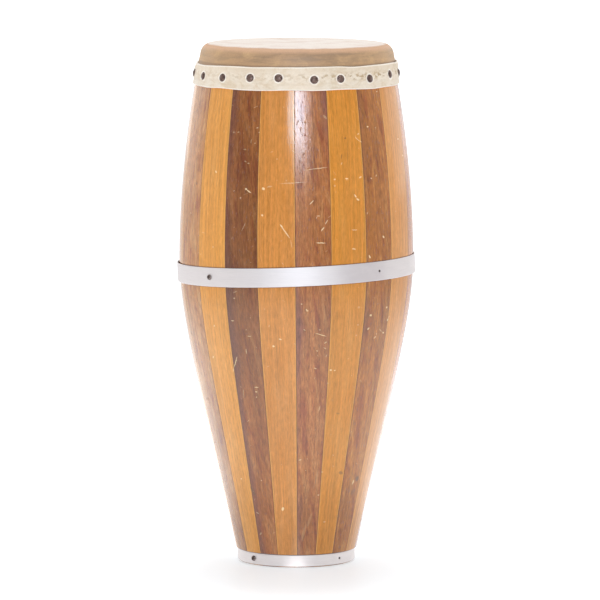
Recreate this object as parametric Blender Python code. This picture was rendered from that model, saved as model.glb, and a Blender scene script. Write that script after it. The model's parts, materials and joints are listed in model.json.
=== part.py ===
"""Coopered hand drum with a rawhide head held on by tacks.

Units are metres and degrees. The origin is the centre of the foot, on the floor, with +Z up.
The front faces -Y. An angle about the drum's axis is 0 at the front and grows towards +X.
"""

import math

import bmesh
import bpy
from mathutils import Matrix, Vector

# The shell. Its outline swells from the head to the belly and then runs into a long cone.
height = 0.730  # floor to playing face
belly_radius = 0.1644
belly_height = 0.4278
head_radius = 0.1314  # of the shell's outline, carried on to the level of the playing face
foot_radius = 0.0808  # of the shell's outline, carried on to the floor
head_curve = 1.86  # power of the outline above the belly
cone_bend = 0.21  # how soon the outline below the belly straightens, 0 being at once

stave_count = 20
stave_facets = 3  # flats across a stave's outer face
spans_above = 5  # stretches along a stave from the belly to the bearing edge
spans_below = 7  # and from the belly to the foot, closer together where the shell bends most
span_crowding = 1.4
stave_thickness = 0.015
first_seam = -1.0
seam_drift = 2.0  # degrees by which the front staves' wider cut pushes the seams at the sides back
seam_gap = 0.0003
bearing_round = 0.0135  # rounding of the shell's outer edge under the head
bearing_ease = 0.001  # small bevel inside the bearing edge
least_bearing_flat = 0.0005  # between the two, at the corners of the widest stave
end_bevel = 0.001  # at the staves' lower ends
shoulder_round = 0.002  # where the wood turns in above the foot hoop
round_steps = 4

fit_gap = 0.0003  # between pieces that touch

# The head.
skin_thickness = 0.0015
band_thickness = 0.0018
band_height = 0.032
tacks_below_head = 0.042  # the tack line
skirt_below_tacks = 0.0057
band_lift = 0.0028  # how far the band's upper edge stands off the skin

tack_head_radius = 0.00555
tack_dome = 0.0024
tack_shank_radius = 0.0011
tack_length = 0.0127
tack_point = 0.005
# Tacks are driven by eye: degrees off the stave's middle, and millimetres above the tack line.
tack_places = (
    (1.7, -0.9), (-1.6, -0.3), (-0.3, -1.9), (1.5, 1.1), (2.0, 0.7),
    (-0.8, -0.4), (1.1, 0.9), (-1.4, 0.2), (0.5, -1.2), (1.8, 0.4),
    (-0.6, 1.3), (0.9, -0.7), (-1.7, 0.6), (0.4, 1.0), (1.2, -0.5),
    (2.0, 0.7), (1.8, -1.0), (2.2, -0.7), (2.6, 0.8), (0.6, 1.4),
)

# The hoops, both of flat aluminium strip.
strip_thickness = 0.0015
belly_hoop_width = 0.0254
belly_hoop_drop = 0.0125  # of its middle below the widest part of the belly
belly_hoop_side_lean = 2.2  # degrees, its right side high
belly_hoop_front_lean = 0.83  # degrees, its front high
foot_hoop_width = 0.0159
foot_hoop_lift = 0.0015  # of its lower edge above the floor
foot_seat_depth = 0.0043  # of the seat turned for the foot hoop, at its upper end
lap_length = 0.028
joggle_length = 0.012  # over which a hoop's outer end steps up onto its inner end
lap_angle = 170.0
rivet_spacing = 0.014
rivet_head_radius = 0.0026
rivet_dome = 0.0012
rivet_shank_radius = 0.0014

first_screw_angle = -46.0
screw_holes = 4
lost_screw = 1  # its hole and its pilot hole are there, but the screw has come out
screw_head_radius = 0.0036
screw_dome = 0.0023
screw_shank_radius = 0.0015
screw_length = 0.0127
screw_point = 0.005
slot_width = 0.0009
slot_depth = 0.0011
slot_turns = (25.0, 70.0, -35.0)  # which way each hoop's three slots were left

# Colours are linear: red, green, blue, roughness, metallic.
finishes = {
    "dark_wood": (0.270, 0.090, 0.040, 0.30, 0.0),
    "light_wood": (0.640, 0.260, 0.060, 0.30, 0.0),
    "head_rawhide": (0.600, 0.420, 0.260, 0.55, 0.0),
    "band_rawhide": (0.740, 0.650, 0.490, 0.60, 0.0),
    "tack_iron": (0.080, 0.050, 0.042, 0.45, 0.8),
    "hoop_aluminium": (0.720, 0.715, 0.730, 0.32, 1.0),
    "screw_steel": (0.110, 0.090, 0.080, 0.45, 0.8),
    "rivet_aluminium": (0.600, 0.600, 0.610, 0.35, 1.0),
}


def shell_radius(z):
    """The shell's outline, without the rounding at its ends."""
    if z > belly_height:
        rise = (z - belly_height) / (height - belly_height)
        return belly_radius - (belly_radius - head_radius) * rise**head_curve
    drop = (belly_height - z) / belly_height
    bend = math.hypot(drop, cone_bend) - cone_bend
    whole_bend = math.hypot(1.0, cone_bend) - cone_bend
    return belly_radius - (belly_radius - foot_radius) * bend / whole_bend


def shell_lean(z):
    """Angle by which the shell's surface faces up from the level at a height, in radians."""
    reach = 0.001
    return math.atan((shell_radius(z - reach) - shell_radius(z + reach)) / (2 * reach))


def seam_angle(number):
    """Angle of a seam. Staves at the front are cut a little wider than those at the back."""
    nominal = math.radians(first_seam + number * 360.0 / stave_count)
    return nominal + math.radians(seam_drift) * math.sin(nominal)


def facet_angles():
    """Angles of the edges between the flats, shared by everything turned to fit the shell."""
    angles = []
    for number in range(stave_count):
        start, end = seam_angle(number), seam_angle(number + 1)
        angles += [start + (end - start) * flat / stave_facets for flat in range(stave_facets)]
    return angles


def on_circle(radius, angle, z):
    return Vector((radius * math.sin(angle), -radius * math.cos(angle), z))


def outward_frame(radius, angle, z, lean=0.0, turn=0.0):
    """Frame on the drum's side, its +Z facing outward and up by the lean."""
    return (
        Matrix.Translation(on_circle(radius, angle, z))
        @ Matrix.Rotation(angle, 4, "Z")
        @ Matrix.Rotation(math.pi / 2 - lean, 4, "X")
        @ Matrix.Rotation(turn, 4, "Z")
    )


tack_height = height - tacks_below_head
highest_tack = max(lift for drift, lift in tack_places) / 1000

shell_top = height - skin_thickness - fit_gap

# A stave's inner side is flat, so the wall is thinnest at its corners, and they limit the rounding.
widest_half = max(seam_angle(n + 1) - seam_angle(n) for n in range(stave_count)) / 2
inner_corner = (shell_radius(shell_top) - stave_thickness + bearing_ease) / math.cos(widest_half)
wall_room = shell_radius(shell_top) - inner_corner - least_bearing_flat
top_lean = shell_lean(shell_top)
wall_taken = math.cos(top_lean) - (1 - math.sin(top_lean)) * math.tan(top_lean)  # for a radius of 1
edge_round = min(bearing_round, wall_room / wall_taken)

# The bearing edge is an arc that starts square to the shell's side and ends at the level top.
bearing_lean = shell_lean(shell_top - edge_round)
bearing_start = shell_top - edge_round * (1 - math.sin(bearing_lean))
bearing_centre_radius = shell_radius(bearing_start) - edge_round * math.cos(bearing_lean)
bearing_centre_height = bearing_start - edge_round * math.sin(bearing_lean)

# The foot hoop lies in a seat turned in the wood, and the belly hoop is as small as its lean allows.
foot_seat_top = foot_hoop_lift + foot_hoop_width + fit_gap
foot_seat_radius = shell_radius(foot_seat_top) - foot_seat_depth
foot_hoop_radius = foot_seat_radius + fit_gap
belly_hoop_lean = math.hypot(
    math.radians(belly_hoop_side_lean), math.radians(belly_hoop_front_lean)
)
belly_hoop_radius = (
    belly_radius
    + belly_hoop_width / 2 * math.sin(belly_hoop_lean)
    + belly_radius * (1 - math.cos(belly_hoop_lean))
    + fit_gap
)


def bearing_arc(radius):
    """Points round the bearing edge's centre, from the shell's side to the top."""
    points = []
    for step in range(round_steps + 1):
        angle = bearing_lean + (math.pi / 2 - bearing_lean) * step / round_steps
        points.append((
            bearing_centre_radius + radius * math.cos(angle),
            bearing_centre_height + radius * math.sin(angle),
        ))
    return points


def dome(radius, rise, steps):
    """Points of a round head, from its rim to just short of its middle."""
    sphere = (radius**2 + rise**2) / (2 * rise)
    reach = 2 * math.atan(rise / radius)
    points = []
    for step in range(steps):
        angle = reach * (1 - step / steps)
        points.append((sphere * math.sin(angle), rise - sphere * (1 - math.cos(angle))))
    return points


def bridge(bm, first, second, round_it):
    """Faces between two rows of vertices, the rows being closed rings if round_it is set."""
    count = len(first)
    for i in range(count if round_it else count - 1):
        j = (i + 1) % count
        bm.faces.new((first[i], first[j], second[j], second[i]))


def finished_mesh(bm, name):
    bmesh.ops.recalc_face_normals(bm, faces=bm.faces)
    mesh = bpy.data.meshes.new(name)
    bm.to_mesh(mesh)
    bm.free()
    mesh.shade_smooth()
    mesh.set_sharp_from_angle(angle=math.radians(25))
    return mesh


def turned_mesh(name, profile, angles, closed_profile=False):
    """A profile of radii and heights turned about Z, with flat ends unless it is closed."""
    bm = bmesh.new()
    rings = [[bm.verts.new(on_circle(r, angle, z)) for angle in angles] for r, z in profile]
    for first, second in zip(rings, rings[1:]):
        bridge(bm, first, second, True)
    if closed_profile:
        bridge(bm, rings[-1], rings[0], True)
    else:
        bm.faces.new(rings[0])
        bm.faces.new(rings[-1])
    return finished_mesh(bm, name)


def round_angles(sides):
    return [2 * math.pi * side / sides for side in range(sides)]


def material(name):
    found = bpy.data.materials.get(name)
    if found:
        return found
    red, green, blue, roughness, metallic = finishes[name]
    made = bpy.data.materials.new(name)
    made.use_nodes = True
    shader = made.node_tree.nodes["Principled BSDF"]
    shader.inputs["Base Color"].default_value = (red, green, blue, 1.0)
    shader.inputs["Roughness"].default_value = roughness
    shader.inputs["Metallic"].default_value = metallic
    made.diffuse_color = (red, green, blue, 1.0)
    return made


def add_piece(name, mesh, finish, parent=None, frame=None):
    piece = bpy.data.objects.new(name, mesh)
    bpy.context.scene.collection.objects.link(piece)
    if not mesh.materials:
        mesh.materials.append(material(finish))
    piece.parent = parent
    if frame is not None:
        piece.matrix_basis = frame
    return piece


def add_bores(name, frames, radius, outside, inside, parent=None):
    """One hidden cutter that holds a straight bore for each frame, along the frame's Z."""
    bm = bmesh.new()
    for frame in frames:
        bmesh.ops.create_cone(
            bm,
            cap_ends=True,
            segments=8,
            radius1=radius,
            radius2=radius,
            depth=outside + inside,
            matrix=frame @ Matrix.Translation((0, 0, (outside - inside) / 2)),
        )
    cutter = bpy.data.objects.new(name, finished_mesh(bm, name))
    bpy.context.scene.collection.objects.link(cutter)
    cutter.parent = parent
    cutter.hide_render = True
    cutter.display_type = "WIRE"
    return cutter


def cut(piece, cutter):
    modifier = piece.modifiers.new(cutter.name, "BOOLEAN")
    modifier.operation = "DIFFERENCE"
    modifier.solver = "EXACT"
    modifier.object = cutter


def stave_outline():
    """The stave's outer side from foot to head, and its flat inner side likewise."""
    shoulder_top = foot_seat_top + shoulder_round
    shoulder_centre = shell_radius(shoulder_top) - shoulder_round
    outer = [(foot_seat_radius - end_bevel, 0.0), (foot_seat_radius, end_bevel)]
    outer.append((foot_seat_radius, foot_seat_top))
    for angle in (-90, -60, -30):
        outer.append((
            shoulder_centre + shoulder_round * math.cos(math.radians(angle)),
            shoulder_top + shoulder_round * math.sin(math.radians(angle)),
        ))
    stations = []
    for span in range(spans_below, 0, -1):
        share = (span / spans_below) ** span_crowding
        stations.append(belly_height - (belly_height - shoulder_top) * share)
    for span in range(spans_above + 1):
        stations.append(belly_height + (bearing_start - belly_height) * span / spans_above)
    outer += [(shell_radius(z), z) for z in stations[:-1]]
    outer += bearing_arc(edge_round)

    inner = [(shell_radius(0) - stave_thickness + end_bevel, 0.0)]
    inner_stations = [end_bevel] + stations[1:-1] + [shell_top - bearing_ease]
    inner += [(shell_radius(z) - stave_thickness, z) for z in inner_stations]
    inner.append((shell_radius(shell_top) - stave_thickness + bearing_ease, shell_top))
    return outer, inner


def stave_mesh(name, start, end):
    """A bent, tapered plank: turned outside, flat across inside, with radial edges."""
    outer, inner = stave_outline()
    middle = (start + end) / 2
    half = (end - start) / 2
    bm = bmesh.new()
    outer_rows = []
    for line in range(stave_facets + 1):
        share = 2 * line / stave_facets - 1
        row = []
        for radius, z in outer:
            at_edge = line in (0, stave_facets)
            inset = math.asin(seam_gap / 2 / radius) if at_edge else 0.0
            angle = middle + share * (half - inset)
            row.append(bm.verts.new(on_circle(radius, angle, z)))
        outer_rows.append(row)
    inner_rows = []
    for side in (-1, 1):
        row = []
        for depth, z in inner:
            across = side * (depth * math.tan(half) - seam_gap / 2 / math.cos(half))
            place = Matrix.Rotation(middle, 3, "Z") @ Vector((across, -depth, z))
            row.append(bm.verts.new(place))
        inner_rows.append(row)
    for first, second in zip(outer_rows, outer_rows[1:]):
        bridge(bm, first, second, False)
    bridge(bm, inner_rows[0], inner_rows[1], False)
    bm.faces.new(outer_rows[0] + inner_rows[0][::-1])
    bm.faces.new(outer_rows[-1] + inner_rows[1][::-1])
    for end_index in (0, -1):
        outside = [row[end_index] for row in outer_rows]
        bm.faces.new(outside + [inner_rows[1][end_index], inner_rows[0][end_index]])
    return finished_mesh(bm, name)


def add_shell(tack_bores, screw_bores):
    """The staves, dark and light by turns, with pilot holes for the tacks and the hoops' screws."""
    for number in range(stave_count):
        name = f"stave_{number + 1:02d}"
        start, end = seam_angle(number), seam_angle(number + 1)
        finish = "light_wood" if number % 2 else "dark_wood"
        stave = add_piece(name, stave_mesh(name, start, end), finish)
        cut(stave, tack_bores)
        if any(in_stave(screw_angle(hole), start, end) for hole in range(screw_holes)):
            for bores in screw_bores:
                cut(stave, bores)


def in_stave(angle, start, end):
    return (angle - start) % (2 * math.pi) < end - start


def add_head(tack_bores):
    """The skin: a level playing face that turns down over the bearing edge into a skirt."""
    skirt_end = tack_height - skirt_below_tacks
    inner_radius = edge_round + fit_gap
    skirt_radius = shell_radius(skirt_end) + fit_gap
    outer = [(skirt_radius + skin_thickness, skirt_end)]
    outer += bearing_arc(inner_radius + skin_thickness)
    inner = [(skirt_radius, skirt_end)] + bearing_arc(inner_radius)
    skin_mesh = turned_mesh("head_skin", outer[::-1] + inner, facet_angles())
    skin = add_piece("head_skin", skin_mesh, "head_rawhide")
    cut(skin, tack_bores)


def band_profile():
    """Inner radii and heights of the band: down on the wood, over the skirt, and off the skin."""
    over_skin = fit_gap + skin_thickness + fit_gap
    skirt_end = tack_height - skirt_below_tacks
    bottom = tack_height - band_height / 2
    top = tack_height + band_height / 2
    lift_start = tack_height + highest_tack + tack_head_radius
    points = [
        (shell_radius(bottom) + fit_gap, bottom),
        (shell_radius(skirt_end - skin_thickness) + fit_gap, skirt_end - skin_thickness),
        (shell_radius(skirt_end) + over_skin, skirt_end),
        (shell_radius(tack_height) + over_skin, tack_height),
        (shell_radius(lift_start) + over_skin, lift_start),
    ]
    points.append((shell_radius(top) + over_skin + band_lift, top))
    return points


def add_band(tack_bores):
    inner = band_profile()
    outer = [(radius + band_thickness, z) for radius, z in inner]
    mesh = turned_mesh("head_band", inner + outer[::-1], facet_angles(), closed_profile=True)
    band = add_piece("head_band", mesh, "band_rawhide")
    cut(band, tack_bores)


def band_surface(z):
    """Outer radius of the band at a height near the tack line."""
    return shell_radius(z) + 2 * fit_gap + skin_thickness + band_thickness


def fastener_mesh(name, cap_radius, rise, shank_radius, length, point=0.0):
    """A domed head over a straight shank, with a tapered point if it has one. Its seat is at 0."""
    profile = [(shank_radius, point - length), (shank_radius, 0.0)]
    if point:
        profile.insert(0, (shank_radius / 4, -length))
    profile += dome(cap_radius, rise, 3)
    return turned_mesh(name, profile, round_angles(8))


def tack_frames():
    """One tack for each stave, square to the shell's side."""
    frames = []
    for number in range(stave_count):
        drift, lift = tack_places[number % len(tack_places)]
        middle = (seam_angle(number) + seam_angle(number + 1)) / 2
        z = tack_height + lift / 1000
        angle = middle + math.radians(drift)
        seat = band_surface(z) + fit_gap / 2
        frames.append(outward_frame(seat, angle, z, shell_lean(tack_height)))
    return frames


def add_tacks(frames):
    mesh = fastener_mesh(
        "tack", tack_head_radius, tack_dome, tack_shank_radius, tack_length, tack_point
    )
    for number, frame in enumerate(frames):
        add_piece(f"tack_{number + 1:02d}", mesh, "tack_iron", frame=frame)


def screw_angle(hole):
    return math.radians(first_screw_angle + hole * 360.0 / screw_holes)


def hoop_mesh(name, radius, width):
    """A strip bent into a ring, whose outer end steps up and laps over its inner end."""
    lap = math.radians(lap_angle)
    half_lap = lap_length / 2 / radius
    joggle = joggle_length / radius
    start = lap - half_lap
    lap_start = start + 2 * math.pi
    end = lap + half_lap + 2 * math.pi
    step_start = lap_start - joggle
    path = {start, start + 2 * half_lap, step_start, lap_start, end}
    for angle in facet_angles():
        for turns in (0, 1, 2):
            turned = angle + turns * 2 * math.pi
            clear = all(abs(turned - other) > math.radians(1) for other in path)
            if start < turned < end and (clear or turned in path):
                path.add(turned)
    bm = bmesh.new()
    rings = []
    for angle in sorted(path):
        share = min(max((angle - step_start) / joggle, 0.0), 1.0)
        inside = radius + (strip_thickness + fit_gap) * share
        outside = inside + strip_thickness
        corners = ((inside, -width / 2), (outside, -width / 2), (outside, width / 2), (inside, width / 2))
        rings.append([bm.verts.new(on_circle(r, angle, z)) for r, z in corners])
    for first, second in zip(rings, rings[1:]):
        bridge(bm, first, second, True)
    bm.faces.new(rings[0])
    bm.faces.new(rings[-1])
    return finished_mesh(bm, name)


def add_screws(prefix, parent, radius, z, mesh):
    """The screws that are left in a hoop. Returns the cutter for all the screw holes."""
    seat = radius + strip_thickness + fit_gap / 2
    kept = [hole for hole in range(screw_holes) if hole != lost_screw]
    for number, hole in enumerate(kept):
        turn = math.radians(slot_turns[number % len(slot_turns)])
        frame = outward_frame(seat, screw_angle(hole), z, turn=turn)
        add_piece(f"{prefix}_screw_{number + 1}", mesh, "screw_steel", parent, frame)
    frames = [outward_frame(seat, screw_angle(hole), z) for hole in range(screw_holes)]
    return add_bores(
        f"{prefix}_screw_bores",
        frames,
        screw_shank_radius + fit_gap,
        screw_dome,
        screw_length + fit_gap,
        parent,
    )


def add_rivets(prefix, parent, radius, z):
    """Two rivets side by side in a hoop's lap, flush inside. Returns the cutter for their holes."""
    grip = 2 * strip_thickness + fit_gap
    seat = radius + grip + fit_gap / 2
    length = grip + fit_gap / 2 - fit_gap
    mesh = fastener_mesh(
        f"{prefix}_rivet", rivet_head_radius, rivet_dome, rivet_shank_radius, length
    )
    frames = []
    for number, side in enumerate((-1, 1)):
        angle = math.radians(lap_angle) + side * rivet_spacing / 2 / radius
        frames.append(outward_frame(seat, angle, z))
        add_piece(f"{prefix}_rivet_{number + 1}", mesh, "rivet_aluminium", parent, frames[-1])
    return add_bores(
        f"{prefix}_rivet_bores",
        frames,
        rivet_shank_radius + fit_gap,
        rivet_dome,
        grip + 2 * fit_gap,
        parent,
    )


def add_hoop(prefix, parent, radius, width, z, screw):
    """A hoop with its screws and rivets. Returns the cutter for the screws' pilot holes."""
    mesh = hoop_mesh(f"{prefix}_hoop", radius, width)
    hoop = add_piece(
        f"{prefix}_hoop", mesh, "hoop_aluminium", parent, Matrix.Translation((0, 0, z))
    )
    screw_bores = add_screws(prefix, parent, radius, z, screw)
    cut(hoop, screw_bores)
    cut(hoop, add_rivets(prefix, parent, radius, z))
    return screw_bores


def screw_mesh():
    """A round-head wood screw with its slot cut, shared by all the screws."""
    plain = fastener_mesh(
        "screw", screw_head_radius, screw_dome, screw_shank_radius, screw_length, screw_point
    )
    blank = bpy.data.objects.new("screw_blank", plain)
    bm = bmesh.new()
    size = Matrix.Diagonal((slot_width, 3 * screw_head_radius, 2 * slot_depth, 1))
    bmesh.ops.create_cube(bm, size=1.0, matrix=Matrix.Translation((0, 0, screw_dome)) @ size)
    slot = bpy.data.objects.new("screw_slot", finished_mesh(bm, "screw_slot"))
    for helper in (blank, slot):
        bpy.context.scene.collection.objects.link(helper)
    cut(blank, slot)
    graph = bpy.context.evaluated_depsgraph_get()
    slotted = bpy.data.meshes.new_from_object(blank.evaluated_get(graph))
    slotted.name = "screw"
    for helper in (blank, slot):
        bpy.data.objects.remove(helper)
    return slotted


def add_hoops():
    screw = screw_mesh()
    lean = bpy.data.objects.new("belly_hoop_lean", None)
    bpy.context.scene.collection.objects.link(lean)
    lean.location = (0, 0, belly_height - belly_hoop_drop)
    lean.rotation_euler = (
        -math.radians(belly_hoop_front_lean),
        -math.radians(belly_hoop_side_lean),
        0,
    )
    foot_middle = foot_hoop_lift + foot_hoop_width / 2
    belly_bores = add_hoop("belly", lean, belly_hoop_radius, belly_hoop_width, 0.0, screw)
    foot_bores = add_hoop("foot", None, foot_hoop_radius, foot_hoop_width, foot_middle, screw)
    return belly_bores, foot_bores


def build():
    for leftover in list(bpy.data.objects):
        bpy.data.objects.remove(leftover)
    frames = tack_frames()
    tack_bores = add_bores(
        "tack_bores", frames, tack_shank_radius + fit_gap, tack_dome, tack_length + fit_gap
    )
    add_shell(tack_bores, add_hoops())
    add_head(tack_bores)
    add_band(tack_bores)
    add_tacks(frames)


build()
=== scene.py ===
import json
import math
import random

import bmesh
import bpy
from mathutils import Matrix, Vector, noise

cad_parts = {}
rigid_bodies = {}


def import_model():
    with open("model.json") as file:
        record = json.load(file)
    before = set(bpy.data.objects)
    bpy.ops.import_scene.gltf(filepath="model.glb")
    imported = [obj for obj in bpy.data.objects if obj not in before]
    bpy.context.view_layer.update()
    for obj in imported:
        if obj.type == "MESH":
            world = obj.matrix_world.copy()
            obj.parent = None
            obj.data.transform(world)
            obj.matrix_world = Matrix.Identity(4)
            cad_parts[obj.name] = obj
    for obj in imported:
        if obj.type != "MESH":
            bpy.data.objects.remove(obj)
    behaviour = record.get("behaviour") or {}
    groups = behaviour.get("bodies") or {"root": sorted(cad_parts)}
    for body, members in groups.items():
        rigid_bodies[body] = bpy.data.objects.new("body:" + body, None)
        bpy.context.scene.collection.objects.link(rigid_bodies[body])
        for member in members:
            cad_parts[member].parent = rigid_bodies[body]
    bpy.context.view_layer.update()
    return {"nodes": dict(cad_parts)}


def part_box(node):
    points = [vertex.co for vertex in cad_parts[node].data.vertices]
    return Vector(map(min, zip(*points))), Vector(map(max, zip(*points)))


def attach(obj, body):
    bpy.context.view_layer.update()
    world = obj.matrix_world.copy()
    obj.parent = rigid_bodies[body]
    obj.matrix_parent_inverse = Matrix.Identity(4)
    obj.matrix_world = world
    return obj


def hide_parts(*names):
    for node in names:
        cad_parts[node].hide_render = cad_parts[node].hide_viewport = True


for leftover in list(bpy.data.objects):
    bpy.data.objects.remove(leftover)

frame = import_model()
print("frame loaded with", len(frame["nodes"]), "nodes")

# the camera and the picture

photoSide = 600  # pixels
camera = dict(
    place=(0.0053, -8.0, 1.26),
    lookAt=(0.0053, 0.0, 0.36722),
    lens=343.89,  # mm, on a sensor 36 mm wide
    sensor=36.0,
)


def addCamera():
    data = bpy.data.cameras.new("studioCamera")
    data.lens = camera["lens"]
    data.sensor_width = camera["sensor"]
    data.clip_end = 60.0
    made = bpy.data.objects.new("studioCamera", data)
    made.location = camera["place"]
    gaze = Vector(camera["lookAt"]) - Vector(camera["place"])
    made.rotation_euler = gaze.to_track_quat("-Z", "Y").to_euler()
    bpy.context.scene.collection.objects.link(made)
    bpy.context.scene.camera = made


addCamera()
print("camera placed")

# the drum's outline: metres, with angles about its axis from the front (-Y) towards +X

shell = dict(
    height=0.730,  # floor to playing face
    bellyRadius=0.1644,
    bellyHeight=0.4278,
    headRadius=0.1314,
    footRadius=0.0808,
    headCurve=1.86,
    coneBend=0.21,
    wall=0.015,
    staves=20,
    gap=0.0003,
)


def shellRadius(z):
    if z > shell["bellyHeight"]:
        rise = (z - shell["bellyHeight"]) / (shell["height"] - shell["bellyHeight"])
        return shell["bellyRadius"] - (shell["bellyRadius"] - shell["headRadius"]) * rise ** shell["headCurve"]
    drop = (shell["bellyHeight"] - z) / shell["bellyHeight"]
    bend = math.hypot(drop, shell["coneBend"]) - shell["coneBend"]
    wholeBend = math.hypot(1.0, shell["coneBend"]) - shell["coneBend"]
    return shell["bellyRadius"] - (shell["bellyRadius"] - shell["footRadius"]) * bend / wholeBend


def shellLean(z):
    reach = 0.001
    return math.atan((shellRadius(z - reach) - shellRadius(z + reach)) / (2 * reach))


def onDrum(radius, angle, z):
    return Vector((radius * math.sin(angle), -radius * math.cos(angle), z))


def outwardFrame(radius, angle, z, lean=0.0, turn=0.0):
    # a frame on the drum's side, its Z facing out
    return (
        Matrix.Translation(onDrum(radius, angle, z))
        @ Matrix.Rotation(angle, 4, "Z")
        @ Matrix.Rotation(math.pi / 2 - lean, 4, "X")
        @ Matrix.Rotation(turn, 4, "Z")
    )


def spotOnShell(across, down):
    # angle and height of the point of the shell that shows at a pixel of the picture
    eye = Vector(camera["place"])
    gaze = (Vector(camera["lookAt"]) - eye).normalized()
    right = gaze.cross(Vector((0, 0, 1))).normalized()
    up = right.cross(gaze)
    reach = camera["lens"] / camera["sensor"] * photoSide
    ray = gaze * reach + right * (across - photoSide / 2) - up * (down - photoSide / 2)
    near, far = (-0.3 - eye.y) / ray.y, -eye.y / ray.y
    for halving in range(40):
        middle = (near + far) / 2
        point = eye + ray * middle
        if math.hypot(point.x, point.y) > shellRadius(point.z):
            near = middle
        else:
            far = middle
    return math.atan2(point.x, -point.y), point.z


# mesh helpers


def meshFromRings(name, rings, capEnds=True, closeLoop=False):
    # skin over a row of closed rings that have the same number of points
    size = len(rings[0])
    points = [point for ring in rings for point in ring]
    faces = []
    last = len(rings) if closeLoop else len(rings) - 1
    for row in range(last):
        here = row * size
        there = (row + 1) % len(rings) * size
        for i in range(size):
            j = (i + 1) % size
            faces.append((here + i, here + j, there + j, there + i))
    if capEnds:
        faces.append(tuple(range(size))[::-1])
        faces.append(tuple(range(len(points) - size, len(points))))
    mesh = bpy.data.meshes.new(name)
    mesh.from_pydata(points, [], faces)
    tidyNormals(mesh)
    return mesh


def tidyNormals(mesh, crease=35.0):
    bm = bmesh.new()
    bm.from_mesh(mesh)
    bmesh.ops.remove_doubles(bm, verts=bm.verts, dist=1e-7)
    bmesh.ops.recalc_face_normals(bm, faces=bm.faces)
    bm.to_mesh(mesh)
    bm.free()
    mesh.shade_smooth()
    mesh.set_sharp_from_angle(angle=math.radians(crease))


def turnedMesh(name, profile, sides, crease=35.0):
    # a closed profile of radii and heights, turned about Z
    rings = []
    for side in range(sides):
        angle = 2 * math.pi * side / sides
        rings.append([onDrum(max(radius, 1e-6), angle, z) for radius, z in profile])
    mesh = meshFromRings(name, rings, capEnds=False, closeLoop=True)
    tidyNormals(mesh, crease)
    return mesh


def arcPoints(centre, radius, start, end, steps):
    points = []
    for step in range(steps + 1):
        angle = math.radians(start + (end - start) * step / steps)
        points.append((centre[0] + radius * math.cos(angle), centre[1] + radius * math.sin(angle)))
    return points


def addPiece(name, mesh, finish, nodes, placeFrame=None):
    made = bpy.data.objects.new(name, mesh)
    bpy.context.scene.collection.objects.link(made)
    if placeFrame is not None:
        made.matrix_world = placeFrame
    if not mesh.materials:
        mesh.materials.append(finish)
    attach(made, "root")
    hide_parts(*nodes)
    return made


def boreThrough(piece, bores):
    # straight holes: a frame, a radius, and how far each goes out and in
    bm = bmesh.new()
    for boreFrame, radius, outside, inside in bores:
        bmesh.ops.create_cone(
            bm, cap_ends=True, segments=24, radius1=radius, radius2=radius, depth=outside + inside,
            matrix=boreFrame @ Matrix.Translation((0, 0, (outside - inside) / 2)),
        )
    cutterMesh = bpy.data.meshes.new("bores")
    bm.to_mesh(cutterMesh)
    bm.free()
    cutter = bpy.data.objects.new("bores", cutterMesh)
    bpy.context.scene.collection.objects.link(cutter)
    cut = piece.modifiers.new("bores", "BOOLEAN")
    cut.operation = "DIFFERENCE"
    cut.solver = "EXACT"
    cut.object = cutter
    graph = bpy.context.evaluated_depsgraph_get()
    bored = bpy.data.meshes.new_from_object(piece.evaluated_get(graph), depsgraph=graph)
    piece.modifiers.remove(cut)
    piece.data = bored
    bpy.data.objects.remove(cutter)


# where the hoops sit, which the painted shadow along them on the staves needs too

bellyHoop = dict(
    radius=0.16536, width=0.0262, height=0.4149, sideLean=-2.2, frontLean=-0.83,
    screws=(-46.0, 43.8, 134.0, 224.0), lostScrew=1, name="belly",
)
footHoop = dict(
    radius=0.08090, width=0.0159, height=0.00945, sideLean=0.0, frontLean=0.0,
    screws=(-46.0, 47.4, 134.0, 224.0), lostScrew=1, name="foot",
)


def hoopFrame(size):
    lean = Matrix.Rotation(math.radians(size["sideLean"]), 4, "Y")
    lean = lean @ Matrix.Rotation(math.radians(size["frontLean"]), 4, "X")
    return Matrix.Translation((0, 0, size["height"])) @ lean


# shader helpers


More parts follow.
